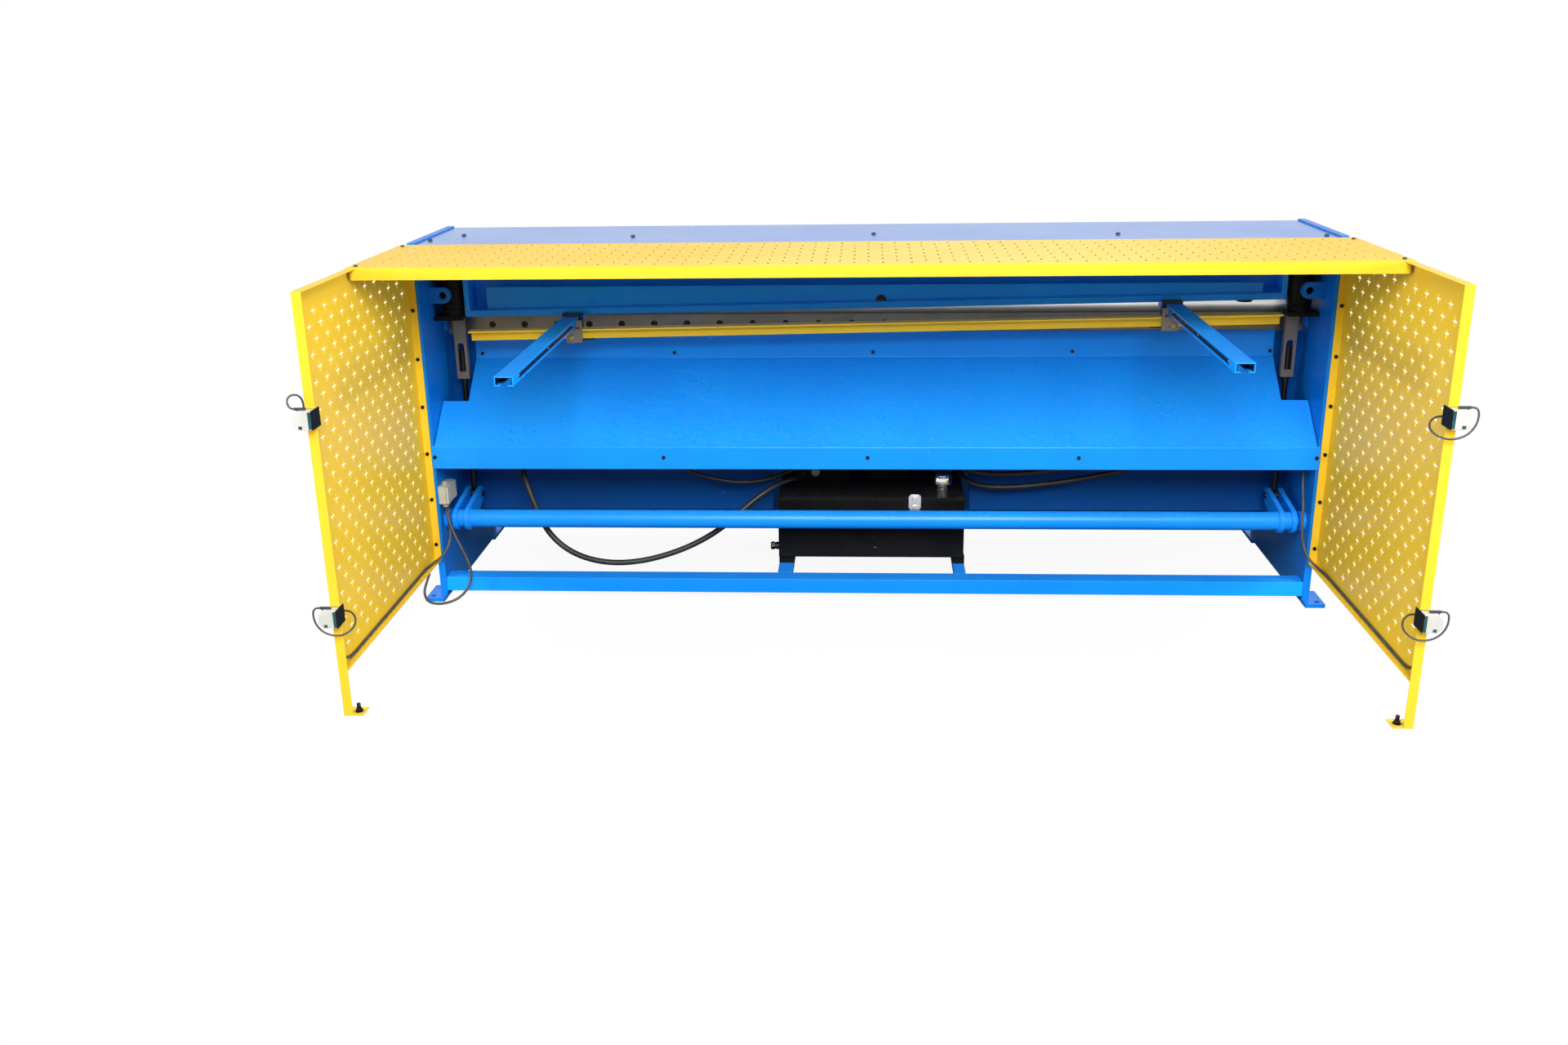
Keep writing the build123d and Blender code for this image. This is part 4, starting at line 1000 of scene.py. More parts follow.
@dataclass
class EndWorks:
    """The cylinders, torsion shaft, levers and bearings at the machine's ends."""

    end_x: float = 1256
    cylinder_y: float = 150
    cylinder_r: float = 34
    cylinder_z: Range = (860, 985)
    bore: float = 18.6
    shaft: Range = (60, 240)
    shaft_r: float = 28
    weld_x: Range = (1230.5, 1281.5)
    weld_r: float = 2.6
    ripple: float = 0.35
    ripple_turn: float = 2.6

    def build(self) -> None:
        """Builds the cylinders and welds, and dresses the rest."""
        for side in Side:
            self.cylinder(side)
        dress(("torsion_tube",), BLUE)
        dress(("shaft_levers",), BLUE, 1.2)
        dress(("lever_pins",), OXIDE)
        dress(("shaft_bearings",), BLUE, 1)
        dress(("cylinder_shelves",), BLACK, 1.2)
        self.welds()

    def cylinder(self, side: Side) -> None:
        """Builds one cylinder with its gland nut, end cap and port."""
        low, high = self.cylinder_z
        r = self.cylinder_r
        where = place((side.value * self.end_x, self.cylinder_y, low), (0, 0, 1))
        tall = high - low
        outer = [(self.bore, tall), (r - 9, tall), (r - 4, tall - 3), (r - 4, tall - 16),
                 (r - 1, tall - 17), (r - 1, tall - 19), (r, tall - 20), (r, 24), (r - 2, 22),
                 (r - 2, 19), (r, 17), (r, 2), (r - 2, 0), (self.bore, 0)]
        shape = Shape()
        shape.turned(outer, where, 40, closed=True)
        port = place((side.value * self.end_x, self.cylinder_y - r + 2, low + 34), (0, -1, 0))
        shape.hexagon(17, 0, 9, port)
        name = side.name.lower()
        shape.piece(f"ram_cylinder_{name}", BLACK, Slot.BLACK, replaces=(f"cylinder_{name}",))

    def welds(self) -> None:
        """Builds the weld beads between the shaft and its levers."""
        shape = Shape()
        y, z = self.shaft
        for side in Side:
            for x in self.weld_x:
                self.bead(shape, (side.value * x, y, z))
        shape.piece("shaft_welds", BLUE, Slot.BLUE, Body.SHAFT)

    def bead(self, shape: Shape, centre: Point) -> None:
        """Adds one weld bead round the shaft, with its ripples.

        Args:
            shape: The mesh under construction.
            centre: The middle of the bead.
        """
        steps, section = 60, 8
        rings = []
        for i in range(steps):
            turn = 2 * math.pi * i / steps
            thick = self.weld_r + self.ripple * math.sin(i * self.ripple_turn)
            circle = []
            for k in range(section):
                a = 2 * math.pi * k / section
                radius = self.shaft_r + thick * math.sin(a)
                out = (thick * math.cos(a), radius * math.cos(turn), radius * math.sin(turn))
                circle.append(Vector(centre) + Vector(out))
            rings.append(circle)
        shape.loops(rings, closed=True)


@dataclass
class HydraulicUnit:
    """The tank with what stands on it."""

    tank_x: Range = (-278, 300)
    tank_y: Range = (130, 430)
    lid_z: Range = (281, 287)
    hatch: Point = (11, 130, 184)
    hatch_r: float = 45
    hatch_bolt_r: float = 37
    hatch_bolts: int = 8
    level: Point = (146, 130, 275)
    cap: Range = (236, 250)
    cap_r: float = 30
    cap_h: float = 50
    grip: float = 0.9
    drain: Point = (-278, 152, 122)
    knob: Point = (-167, 300, 322)
    valve_x: Range = (-235, -60)
    valve_y: Range = (300, 385)
    coil_in: float = 34
    coil_z: Range = (357, 387)
    motor_x: Range = (-20, 150)
    motor_y: float = 370
    motor_r: float = 70
    motor_z: float = 369
    fin: float = 6
    foot_half: float = 42
    foot_top: float = 317

    def build(self) -> None:
        """Builds the fittings and dresses the tank."""
        dress(("oil_tank", "tank_lid"), BLACK, 1.5)
        dress(("tank_feet",), BLACK, 1.2)
        dress(("valve_block",), BLACK, 1.0)
        dress(("hose_fittings",), OXIDE, 0.8)
        self.hatch_plate()
        self.level_gauge()
        self.filler_cap()
        self.drain_plug()
        self.valve_knob()
        self.motor()
        self.lid_screws()

    def hatch_plate(self) -> None:
        """Builds the round hatch with its ring of bolts."""
        shape = Shape()
        where = place(self.hatch, (0, -1, 0))
        r = self.hatch_r
        shape.turned([(r, 0), (r, 3), (r - 1.5, 4.2), (r - 14, 4.2), (r - 16, 5.5), (6, 6)], where, 48)
        for i in range(self.hatch_bolts):
            turn = 2 * math.pi * (i + 0.5) / self.hatch_bolts
            out = (self.hatch_bolt_r * math.cos(turn), self.hatch_bolt_r * math.sin(turn), 0)
            shape.hexagon(8, 4, 8.5, where @ Matrix.Translation(out))
        shape.piece("hatch_cover", BLACK, Slot.BLACK, replaces=("tank_hatch",))

    def level_gauge(self) -> None:
        """Builds the level gauge's bright frame with its window."""
        x, y, z = self.level
        shape = Shape()
        wide, tall, cut = 19, 25, 7
        outline = [(-wide + cut, -tall), (wide - cut, -tall), (wide, -tall + cut), (wide, tall - cut),
                   (wide - cut, tall), (-wide + cut, tall), (-wide, tall - cut), (-wide, -tall + cut)]
        where = place(self.level, (0, -1, 0))
        shape.prism(outline, 7, where)
        for end in (-1, 1):
            shape.turned([(9, 7), (9, 10), (7, 12)], where @ Matrix.Translation((0, end * 14, 0)), 20)
        shape.piece("level_gauge_frame", NICKEL, Slot.BRIGHT, replaces=("level_gauge",), edge=1.2)
        window = Shape()
        window.block(around(x, 6), (y - 11, y - 6.5), around(z, 5.5))
        window.piece("level_gauge_window", SIGHT, Slot.BRIGHT, edge=1.2)

    def filler_cap(self) -> None:
        """Builds the filler cap with its knurled rim."""
        where = place((*self.cap, self.lid_z[1]), (0, 0, 1))
        r, h = self.cap_r, self.cap_h
        shape = Shape()
        shape.turned([(r - 4, 0), (r - 4, 3), (r - 9, 4), (r - 9, 11)], where, 36)
        levels = [(r - 3, 11, 0), (r, 13, self.grip), (r, 30, self.grip), (r - 2, 33, 0), (r - 2, 36, 0),
                  (r, 38, 0), (r, h - 6, 0), (r - 4, h - 1, 0), (r - 14, h, 0)]
        shape.ribbed(levels, where, 60, 2)
        shape.piece("breather_cap", CHROME, Slot.BRIGHT, replaces=("filler_cap",))

    def drain_plug(self) -> None:
        """Builds the drain stub with its hexagon."""
        where = place(self.drain, (-1, 0, 0))
        shape = Shape()
        shape.turned([(12, 0), (12, 8), (10.5, 9), (10.5, 14)], where, 26)
        shape.hexagon(22, 14, 26, where)
        shape.piece("drain_stub", OXIDE, Slot.DARK, replaces=("drain_plug",))

    def valve_knob(self) -> None:
        """Builds the valve's knob and the coils beside it."""
        where = place(self.knob, (0, -1, 0))
        shape = Shape()
        shape.turned([(15, 0), (15, 7), (13.5, 8), (13.5, 9)], where, 30)
        shape.piece("knob_rim", KNOB_BLUE, Slot.WHITE, replaces=("valve_knob",))
        face = Shape()
        face.turned([(12, 9), (12, 14), (10, 16), (3, 16)], where, 30)
        face.piece("knob_face", SENSOR, Slot.WHITE)
        coils = Shape()
        for x in inset(self.valve_x, self.coil_in):
            coils.block(around(x, 22), inset(self.valve_y, 12), self.coil_z)
        coils.piece("valve_coils", DARK_PLASTIC, Slot.BLACK, edge=3)

    def motor(self) -> None:
        """Builds the finned motor with its pump and foot."""
        low, high = self.motor_x
        where = place((low, self.motor_y, self.motor_z), (1, 0, 0))
        r, length = self.motor_r, high - low
        levels = [(r - 12, 0, 0), (r - 6, 1, 0), (r - 6, 26, 0), (r - 9, 27, 0), (r, 28, self.fin),
                  (r, length - 16, self.fin), (r - 5, length - 15, 0), (r - 5, length - 3, 0),
                  (r - 9, length, 0)]
        shape = Shape()
        shape.ribbed(levels, where, 72, 3)
        pump = [(52, 0), (52, 8), (42, 9), (42, 42), (36, 45)]
        shape.turned([(radius, length + height) for radius, height in pump], where, 40)
        foot_y = around(self.motor_y, self.foot_half)
        shape.block(inset(self.motor_x, 20), foot_y, (self.lid_z[1], self.foot_top))
        shape.piece("motor_and_pump", BLACK, Slot.BLACK, replaces=("pump_motor",))

    def lid_screws(self) -> None:
        """Builds the screws along the lid's edges."""
        shape = Shape()
        left, right = self.tank_x
        for x in (left + 16, left + 150, (left + right) / 2, right - 150, right - 16):
            for y in inset(self.tank_y, 12):
                shape.hexagon(10, 0, 5, place((x, y, self.lid_z[1]), (0, 0, 1), 0.4))
        shape.piece("lid_screws", OXIDE, Slot.DARK)


@dataclass
class HoldDown:
    """The hold-down feet under their beam."""

    y: float = 347.5
    low: float = 855
    tall: float = 50
    first_x: float = -1150
    pitch: float = 230
    count: int = 11
    radius: float = 25

    def build(self) -> None:
        """Builds the feet: a rod, a collar and a pressure pad."""
        shape = Shape()
        r = self.radius
        profile = [(r - 3, 0), (r, 2), (r, 12), (r - 2, 14), (r - 9, 15), (r - 9, 30), (r - 4, 31),
                   (r - 4, self.tall)]
        for i in range(self.count):
            spot = (self.first_x + i * self.pitch, self.y, self.low)
            shape.turned(profile, place(spot, (0, 0, 1)), 32)
        shape.piece("pressure_feet", OXIDE, Slot.DARK, replaces=("hold_down_feet",))


@dataclass
class Gauge:
    """The back gauge's angle and clamps."""

    rake: float = 0.0165
    plate_y: Range = (52, 59.5)
    plate_x: tuple[float, float, float] = (845, 862.5, 893)
    plate_z: tuple[float, float, float] = (806, 848, 872)
    bolt: Range = (877, 822)
    dot: Range = (856, 850)
    dot_screw: Head = (3.6, 3)

    def build(self) -> None:
        """Dresses the angle and clamps and builds the clamps' plates and screws."""
        dress(("gauge_angle",), GAUGE_YELLOW, 0.8)
        dress(("gauge_clamps",), OXIDE, 0.8)
        plates, bolts, dots = Shape(), Shape(), Shape()
        for side in Side:
            self.clamp_plate(side, plates)
            rear = self.plate_y[0]
            bolt = place(self.spot(side, self.bolt, rear), (0, -1, 0))
            bolts.hexagon(12, 0, 6, bolt)
            bolts.turned([(4, 6), (4, 13), (3.2, 14)], bolt, 18)
            dots.socket_screw(place(self.spot(side, self.dot, rear), (0, -1, 0)), *self.dot_screw)
        plates.piece("clamp_plates", LINK, Slot.DARK, Body.GAUGE, edge=0.8)
        bolts.piece("clamp_bolts", BRASS, Slot.BRIGHT, Body.GAUGE)
        dots.piece("clamp_screws", OXIDE, Slot.DARK, Body.GAUGE)

    def spot(self, side: Side, where: Range, y: float) -> Point:
        """A point of the clamp at one end, with the gauge's rise from left to right."""
        x = side.value * where[0]
        return (x, y, where[1] + self.rake * x)

    def clamp_plate(self, side: Side, shape: Shape) -> None:
        """Adds one clamp's plate, which reaches up beside its rail.

        Args:
            side: The end of the machine.
            shape: The mesh under construction.
        """
        (x0, x1, x2), (z0, z1, z2) = self.plate_x, self.plate_z
        outline = [(x0, z0), (x2, z0), (x2, z1), (x1, z1), (x1, z2), (x0, z2)]
        shape.loops([[Vector(self.spot(side, corner, y)) for corner in outline] for y in self.plate_y])


@dataclass
class Sensors:
    """The light sensors on the guards' posts, with their leads."""

    inner_x: float = 1317
    size: float = 46
    depth: float = 30
    rear: float = -833
    corner: float = 12
    window_z: Range = (29.6, 30.8)
    lamp_z: Range = (29.8, 30.6)
    plug_in: float = 12
    plug: float = 6
    heights: tuple[tuple[Side, float], ...] = (
        (Side.LEFT, 789), (Side.LEFT, 280), (Side.RIGHT, 790), (Side.RIGHT, 292))

    def build(self) -> None:
        """Builds the sensors' boxes, lenses and plugs, and dresses their brackets."""
        dress(("sensor_brackets",), BRACKET, 0.5)
        boxes, lenses, plugs = Shape(), Shape(), Shape()
        for side, z in self.heights:
            self.sensor(side, z, boxes, lenses, plugs)
        boxes.piece("sensor_housings", SENSOR, Slot.WHITE, replaces=("sensor_boxes",), edge=1.2)
        lenses.piece("sensor_windows", LENS, Slot.DARK, edge=0.4)
        plugs.piece("sensor_plugs", DARK_PLASTIC, Slot.RUBBER, edge=0.5)

    def sensor(self, side: Side, z: float, boxes: Shape, lenses: Shape, plugs: Shape) -> None:
        """Builds one sensor.

        Args:
            side: The end of the machine.
            z: The height of its middle.
            boxes: The shape that takes its housing.
            lenses: The shape that takes its windows.
            plugs: The shape that takes its plug.
        """
        s, half, cut = side.value, self.size / 2, self.corner
        middle = self.inner_x + half
        where = Matrix.Translation(Vector((s * middle, self.rear, z)))
        where @= Matrix(((s, 0, 0, 0), (0, 0, -1, 0), (0, 1, 0, 0), (0, 0, 0, 1)))
        outline = [(-half, -half), (half - cut, -half), (half, -half + cut), (half, half - cut),
                   (half - cut, half), (-half, half)]
        boxes.prism(outline, self.depth, where)
        window = rectangle((-half, -half + 7), (-half + 2, half - 2))
        lamp = rectangle((half - 23, half - 14), (-half + 2, -half + 10))
        for glass, (low, high) in ((window, self.window_z), (lamp, self.lamp_z)):
            lenses.prism(glass, high - low, where @ Matrix.Translation((0, 0, low)))
        plugs.prism(rectangle((-8, 20), (half, half + self.plug)), self.plug,
                    where @ Matrix.Translation((0, 0, self.plug_in)))


@dataclass
class CableBoxes:
    """The grey junction box on the left and the inlet box under the chute on the right."""

    wall: float = 1308
    depth: float = 30
    box_gap: float = 8
    lid: float = 7.2
    lid_edge: float = 1.5
    seal: Range = (8.2, 7)
    seal_edge: Range = (3.5, 4)
    box_y: Range = (0, 90)
    box_z: Range = (304, 359)
    glands_y: tuple[float, ...] = (14, 38)
    gland_r: float = 9
    gland_h: float = 12
    inlet_y: Range = (40, 80)
    inlet_z: Range = (425, 465)

    def build(self) -> None:
        """Builds both boxes with their glands."""
        low_x, high_x = -self.wall, -self.wall + self.depth
        shape = Shape()
        shape.block((low_x, high_x - self.box_gap), self.box_y, self.box_z)
        lid_y, lid_z = (inset(limits, self.lid_edge) for limits in (self.box_y, self.box_z))
        shape.block((high_x - self.lid, high_x), lid_y, lid_z)
        seal_x = (high_x - self.seal[0], high_x - self.seal[1])
        seal_y, seal_z = inset(self.box_y, self.seal_edge[0]), inset(self.box_z, self.seal_edge[1])
        shape.block(seal_x, seal_y, seal_z)
        shape.piece("wall_box", BOX, Slot.GREY, replaces=("junction_box",), edge=2.2)
        glands = Shape()
        middle = low_x + self.depth / 2
        for y in self.glands_y:
            self.gland(glands, (middle, y, self.box_z[0]), -1)
        self.gland(glands, (middle, self.glands_y[0] + 8, self.box_z[1]), 1)
        self.gland(glands, (self.wall - self.depth / 2, sum(self.inlet_y) / 2, self.inlet_z[0]), -1)
        glands.piece("cable_glands", GLAND, Slot.GREY)
        inlet = Shape()
        inlet.block((self.wall - self.depth, self.wall), self.inlet_y, self.inlet_z)
        inlet.piece("inlet_box", BOX, Slot.GREY, replaces=("cable_inlet",), edge=2)

    def gland(self, shape: Shape, centre: Point, up: int) -> None:
        """Adds one cable gland: a hexagon, a ribbed dome and its mouth."""
        where = place(centre, (0, 0, up))
        shape.hexagon(17, 0, 5, where)
        r = self.gland_r
        shape.turned([(r, 5), (r, 7), (r - 1, 7.6), (r - 0.6, 10), (r - 3, self.gland_h)], where, 24)


@dataclass
class Cord:
    """A hose or cable that follows its route on one smooth curve."""

    name: str
    node: str
    points: list[Point]
    diameter: float
    length: float
    stiffness: str
    finish: Finish = RUBBER
    far_end: str = "object"
    lay: str = "hanging"

    def build(self) -> bpy.types.Object:
        """Builds the curve that stands for the cord's node.

        Returns:
            The curve object.
        """
        curve = bpy.data.curves.new(self.name, "CURVE")
        curve.dimensions = "3D"
        curve.bevel_depth = self.diameter * MM / 2
        curve.bevel_resolution = 5
        curve.resolution_u = 10
        curve.use_fill_caps = True
        spline = curve.splines.new("NURBS")
        spline.points.add(len(self.points) - 1)
        for control, point in zip(spline.points, self.points):
            control.co = (*at(*point), 1.0)
        spline.order_u = 3
        spline.use_endpoint_u = True
        curve.materials.append(self.finish.material())
        return settle(show(self.name, curve), Body.FRAME, (self.node,))

    def declare(self, made: bpy.types.Object, pieces: list[bpy.types.Object]) -> None:
        """Args:
            made: The curve object; not used.
            pieces: The separate pieces on it; not used.
        """
        tuple(at(*self.points[0]))
        self.diameter * MM


@dataclass
class Hoses:
    """The hoses between the tank and the bed, the cables at the sides and the sensors' leads."""

    inner: float = 1308
    guard_cable_x: float = 1334.5
    guard_cable_z: float = 131.5
    post_cable_y: float = -823.5
    guard_low: float = 125
    gland_x: float = -1293
    gland_z: float = 292
    mouth_y: float = 236
    port_y: float = 300
    pump_x: float = 195
    lead_x: float = 1340
    lead_y: float = -830

    def build(self) -> None:
        """Builds every cord with the fittings at its ends."""
        for cord in (self.loop(), self.back(), self.upper(), self.lower()):
            made = cord.build()
            cord.declare(made, [self.ferrules(cord)])
        thin = self.cable_loop()
        made = thin.build()
        thin.declare(made, [self.boot(thin)])
        for cord in (self.left_run(), self.right_run()):
            cord.build()
            self.boot(cord)
        self.leads()

    def loop(self) -> Cord:
        """The long hose that hangs under the shaft on the left."""
        points = [
            (-1090, self.mouth_y, 392),
            (-1090, 196, 392),
            (-1080, 152, 362),
            (-1056, 128, 300),
            (-1034, 122, 236),
            (-1004, 112, 176),
            (-950, 96, 128),
            (-880, 80, 100),
            (-800, 74, 88),
            (-715, 78, 92),
            (-630, 88, 110),
            (-550, 100, 138),
            (-470, 114, 180),
            (-405, 128, 232),
            (-345, 148, 282),
            (-284, 178, 316),
            (-232, 220, 324),
            (-212, 262, 314),
            (-212, self.port_y, 314),
        ]
        return Cord("long_hose", "hose_loop", points, 18, 1268, "medium")

    def back(self) -> Cord:
        """The thinner hose along the bed to the left."""
        points = [
            (-640, self.mouth_y, 396),
            (-640, 204, 396),
            (-612, 174, 386),
            (-546, 160, 359),
            (-466, 158, 336),
            (-386, 164, 325),
            (-310, 182, 330),
            (-246, 216, 347),
            (-218, 260, 350),
            (-218, self.port_y, 350),
        ]
        return Cord("back_hose", "hose_back", points, 12, 550, "medium")

    def upper(self) -> Cord:
        """The upper hose to the right."""
        points = [
            (self.pump_x, 352, 388),
            (self.pump_x + 24, 352, 388),
            (252, 338, 382),
            (278, 302, 372),
            (288, 262, 362),
            (304, 222, 354),
            (346, 190, 350),
            (416, 174, 350),
            (496, 170, 356),
            (576, 170, 366),
            (650, 172, 378),
            (712, 180, 390),
            (742, 208, 396),
            (742, self.mouth_y, 396),
        ]
        return Cord("upper_hose", "hose_upper", points, 18, 680, "medium")

    def lower(self) -> Cord:
        """The lower hose to the right."""
        points = [
            (self.pump_x, 372, 352),
            (self.pump_x + 26, 372, 352),
            (254, 356, 350),
            (280, 316, 342),
            (292, 270, 330),
            (306, 230, 316),
            (346, 200, 306),
            (416, 188, 304),
            (496, 186, 310),
            (580, 186, 320),
            (662, 186, 334),
            (735, 182, 350),
            (776, 188, 358),
            (800, 208, 362),
            (800, self.mouth_y, 362),
        ]
        return Cord("lower_hose", "hose_lower", points, 18, 745, "medium")

    def cable_loop(self) -> Cord:
        """The thin cable that hangs in a loop beside the left foot."""
        edge = -self.inner
        points = [
            (self.gland_x, 14, self.gland_z),
            (self.gland_x, 14, 276),
            (edge + 22, 6, 256),
            (edge + 36, -10, 224),
            (edge + 58, -24, 184),
            (edge + 78, -28, 140),
            (edge + 92, -30, 92),
            (edge + 80, -38, 46),
            (edge + 48, -56, 14),
            (edge + 4, -84, 8),
            (edge - 34, -98, 20),
            (edge - 45, -94, 52),
            (edge - 36, -82, 82),
            (edge - 28, -70, self.guard_low - 18),
            (edge - 28, -70, self.guard_low),
        ]
        return Cord("hanging_cable", "cable_loop", points, 8, 520, "limp", LEAD)

    def left_run(self) -> Cord:
        """The cable along the left guard's lower flange and post."""
        edge, x = -self.inner, -self.guard_cable_x
        points = [
            (self.gland_x, 38, self.gland_z),
            (self.gland_x, 38, 275),
            (edge + 17, 27, 257),
            (edge + 23, 10, 232),
            (edge + 29, -12, 202),
            (edge + 22, -24, 172),
            (edge + 4, -42, 146),
            (edge - 20, -74, 134),
            (x, -120, self.guard_cable_z),
            (x, -180, self.guard_cable_z),
            (x, -690, self.guard_cable_z),
            (x, -750, self.guard_cable_z),
            (x, -796, 146),
            (x, self.post_cable_y, 196),
            (x, self.post_cable_y, 246),
        ]
        return Cord("left_cable", "cable_run_left", points, 8, 1043, "limp", LEAD)

    def right_run(self) -> Cord:
        """The cable along the right guard's lower flange and post."""
        edge, x = self.inner, self.guard_cable_x
        points = [
            (edge - 15, 60, 413),
            (edge - 15, 60, 385),
            (edge - 17, 44, 346),
            (edge - 18, 22, 310),
            (edge - 22, 2, 268),
            (edge - 24, -12, 226),
            (edge - 18, -24, 184),
            (edge - 4, -42, 152),
            (edge + 20, -76, 135),
            (x, -120, self.guard_cable_z),
            (x, -180, self.guard_cable_z),
            (x, -690, self.guard_cable_z),
            (x, -750, self.guard_cable_z),
            (x, -796, 146),
            (x, self.post_cable_y, 196),
            (x, self.post_cable_y, 246),
        ]
        return Cord("right_cable", "cable_run_right", points, 8, 1155, "limp", LEAD)

    def leads(self) -> None:
        """Builds each sensor's lead: one stands in a ring over its box, three hang round theirs."""
        middle, rear = self.lead_x, self.lead_y
        plug = [(20, -18, 26), (29, -18, 26)]
        hanging = plug + [(37, -18, 21), (40, -18, 8), (38, -19, -10), (29, -20, -28), (13, -20, -42),
                          (-9, -19, -49), (-31, -14, -48), (-45, 4, -42), (-48, 28, -34), (-40, 50, -25),
                          (-26, 66, -20), (-13, 74, -18), (-1.5, 74, -18)]
        standing = plug + [(36, -17, 38), (36, -14, 50), (27, -9, 58), (14, -3, 57), (8, 5, 46),
                           (8, 11, 31), (11, 17, 14), (14, 24, -4), (14, 33, -15), (13, 40, -22),
                           (8.5, 45, -26), (1, 45, -26)]
        for index, (side, z) in enumerate(Sensors().heights):
            route, length = (standing, 167) if index == 0 else (hanging, 256)
            points = [(side.value * (middle + out), y + rear, z + rise) for out, y, rise in route]
            name = f"sensor_lead_{side.name.lower()}_{'low' if index % 2 else 'high'}"
            cord = Cord(name, "sensor_leads", points, 5, length, "limp", LEAD)
            cord.declare(cord.build(), [])

    def ferrules(self, cord: Cord) -> bpy.types.Object:
        """Builds the crimped sleeves at both ends of a hose.

        Args:
            cord: The hose.

        Returns:
            One piece with both sleeves.
        """
        r = cord.diameter / 2
        profile = [(r + 1.2, 0), (r + 3, 1), (r + 3, 7), (r + 1.4, 8), (r + 2.4, 9.5), (r + 1.6, 11),
                   (r + 2.4, 13), (r + 1.6, 15), (r + 2.4, 17), (r + 1.6, 19), (r + 2.2, 21), (r + 0.5, 22)]
        shape = Shape()
        ends = ((cord.points[0], cord.points[1]), (cord.points[-1], cord.points[-2]))
        for start, towards in ends:
            way = Vector(towards) - Vector(start)
            shape.turned(profile, place(start, tuple(way)), 26)
        return shape.piece(f"{cord.name}_sleeves", OXIDE, Slot.BRIGHT)

    def boot(self, cord: Cord) -> bpy.types.Object:
        """Builds the tapered relief where a cable leaves its gland.

        Args:
            cord: The cable.

        Returns:
            The relief.
        """
        start, towards = Vector(cord.points[0]), Vector(cord.points[1])
        r = cord.diameter / 2
        shape = Shape()
        profile = [(r + 2.4, 0), (r + 2.2, 3), (r + 1.2, 4), (r + 1.6, 6.5), (r + 0.8, 7.5), (r + 1.2, 10),
                   (r + 0.6, 11), (r + 0.5, 17)]
        shape.turned(profile, place(tuple(start), tuple(towards - start)), 22)
        return shape.piece(f"{cord.name}_relief", DARK_PLASTIC, Slot.RUBBER)


@dataclass(frozen=True)
class Lamp:
    """One square soft lamp, placed in metres."""

    name: str
    where: Point
    target: Point
    size: float
    power: float

    def build(self) -> None:
        """Hangs the lamp so that it faces its target."""
        data = bpy.data.lights.new(self.name, "AREA")
        data.size = self.size
        data.energy = self.power
        lamp = show(self.name, data)
        lamp.location = self.where
        way = Vector(self.target) - Vector(self.where)
        lamp.rotation_euler = way.to_track_quat("-Z", "Y").to_euler()


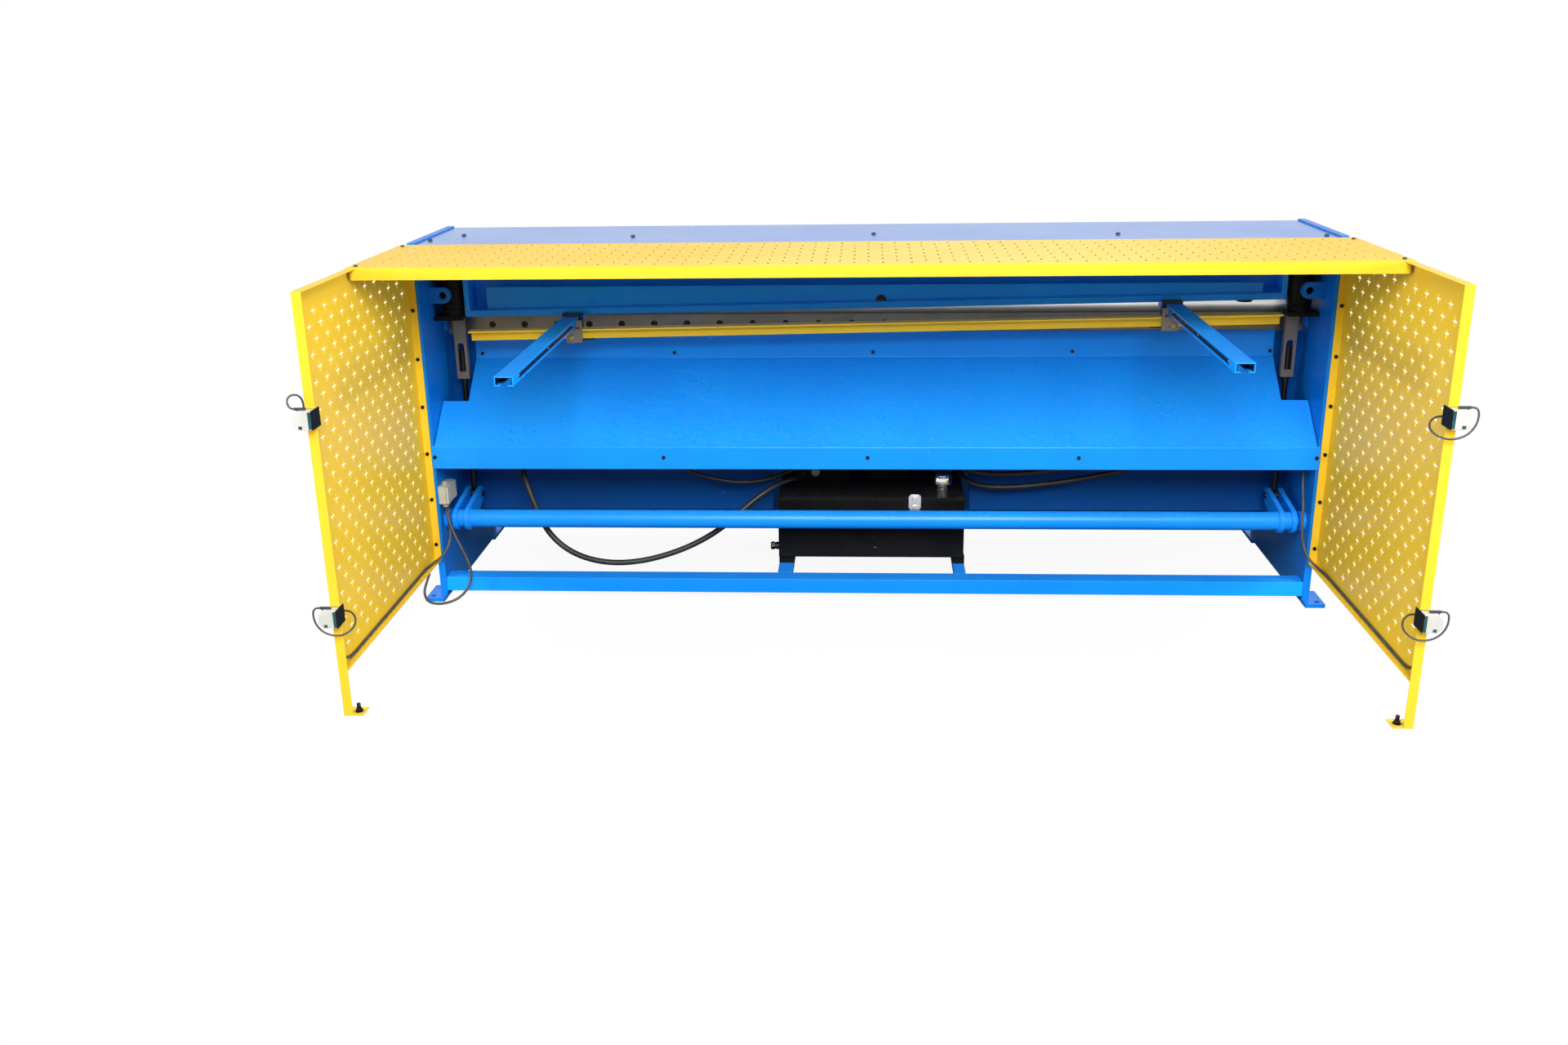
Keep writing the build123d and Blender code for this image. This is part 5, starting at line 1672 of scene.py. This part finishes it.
@dataclass
class Studio:
    """The camera of the photograph, the pale floor and the soft lights."""

    focal_px: float = 1713.8
    image_width: float = 1920
    sensor: float = 36
    yaw: float = math.radians(-3.58)
    pitch: float = math.radians(18.59)
    roll: float = math.radians(-0.92)
    eye: Point = (-1.3, -4010, 1601)
    floor_reach: float = 60
    floor_shade: float = 0.08
    matt: Colour = (0.86, 0.86, 0.86, 1)
    bounce: Colour = (0.2, 0.2, 0.2, 1)
    ambient: float = 0.26
    lamps: tuple[Lamp, ...] = (
        Lamp("key_light", (0.4, -4.4, 3.6), (0, 0, 0.6), 2.6, 385),
        Lamp("right_light", (4.3, -1.5, 1.3), (-1.3, -0.6, 0.6), 1.2, 190),
        Lamp("left_light", (-4.3, -1.5, 1.3), (1.3, -0.6, 0.6), 1.2, 180),
        Lamp("front_light", (0.6, 4.2, 4.6), (0, 0.4, 0.6), 2.4, 90),
    )

    def build(self) -> None:
        """Builds the camera, floor, world and lamps."""
        self.camera()
        self.floor()
        self.world()
        for lamp in self.lamps:
            lamp.build()

    def camera(self) -> None:
        """Places the camera where the photograph was taken."""
        level_reach = math.cos(self.pitch)
        forward = Vector((math.sin(self.yaw) * level_reach, math.cos(self.yaw) * level_reach,
                          -math.sin(self.pitch)))
        level = Vector((math.cos(self.yaw), -math.sin(self.yaw), 0))
        down = forward.cross(level)
        right = level * math.cos(self.roll) - down * math.sin(self.roll)
        up = -(level * math.sin(self.roll) + down * math.cos(self.roll))
        turn = Matrix((right, up, -forward)).transposed()
        data = bpy.data.cameras.new("rear_view")
        data.sensor_width = self.sensor
        data.lens = self.focal_px / self.image_width * self.sensor
        camera = show("rear_view", data)
        camera.matrix_world = Matrix.Translation(at(*self.eye)) @ turn.to_4x4()
        bpy.context.scene.camera = camera

    def floor(self) -> None:
        """Lays a pale floor that keeps the shadow near the machine."""
        mesh = bpy.data.meshes.new("floor")
        sides = around(0, self.floor_reach)
        mesh.from_pydata([(x, y, 0) for x, y in rectangle(sides, sides)], [], [(0, 1, 2, 3)])
        sheet = NodeSheet(bpy.data.materials.new("pale_floor"))
        distance = sheet.signal("ShaderNodeVectorMath", "Value", {"operation": "LENGTH"},
                                {0: sheet.coordinates((0.5, 0.8, 1))})
        near = 1 - sheet.remap(distance, 0.5, 1.5)
        bounce = sheet.signal("ShaderNodeBsdfDiffuse", 0, None, {"Color": self.bounce})
        matt = sheet.signal("ShaderNodeBsdfDiffuse", 0, None, {"Color": self.matt})
        glow = sheet.signal("ShaderNodeEmission", 0, None, {"Color": PURE_WHITE, "Strength": 1.0})
        bright = 1 - near * self.floor_shade
        pale = sheet.signal("ShaderNodeMixShader", 0, None, {0: bright, 1: matt, 2: glow})
        straight, through = sheet.rays("Is Camera Ray", "Is Transmission Ray")
        seen = sheet.remap(straight + through, 0.0, 1.0)
        shown = sheet.signal("ShaderNodeMixShader", 0, None, {0: seen, 1: bounce, 2: pale})
        sheet.add("ShaderNodeOutputMaterial", None, {0: shown})
        mesh.materials.append(sheet.owner)
        show("floor", mesh)

    def world(self) -> None:
        """Makes the world white to look at and softer as a light."""
        world = bpy.data.worlds.new("studio")
        bpy.context.scene.world = world
        sheet = NodeSheet(world)
        straight, mirrored = sheet.rays("Is Camera Ray", "Is Glossy Ray")
        both = sheet.signal("ShaderNodeMath", 0, {"operation": "MAXIMUM"}, {0: straight, 1: mirrored})
        light = {"Color": PURE_WHITE, "Strength": self.ambient}
        soft = sheet.signal("ShaderNodeBackground", 0, None, light)
        white = sheet.signal("ShaderNodeBackground", 0, None, {"Color": PURE_WHITE})
        shown = sheet.signal("ShaderNodeMixShader", 0, None, {0: both, 1: soft, 2: white})
        sheet.add("ShaderNodeOutputWorld", None, {0: shown})


def main() -> None:
    """Builds the sub-assemblies in order."""
    logging.basicConfig(level=logging.INFO, format="%(name)s: %(message)s")
    bpy.context.scene.view_settings.view_transform = "Standard"
    parts = (Studio(), Hoses(), Guards(), Housing(), Blades(), Ram(), EndWorks(), HydraulicUnit(),
             HoldDown(), Gauge(), Sensors(), CableBoxes())
    for part in parts:
        LOG.info("building %s", type(part).__name__)
        part.build()


if __name__ == "__main__":
    main()
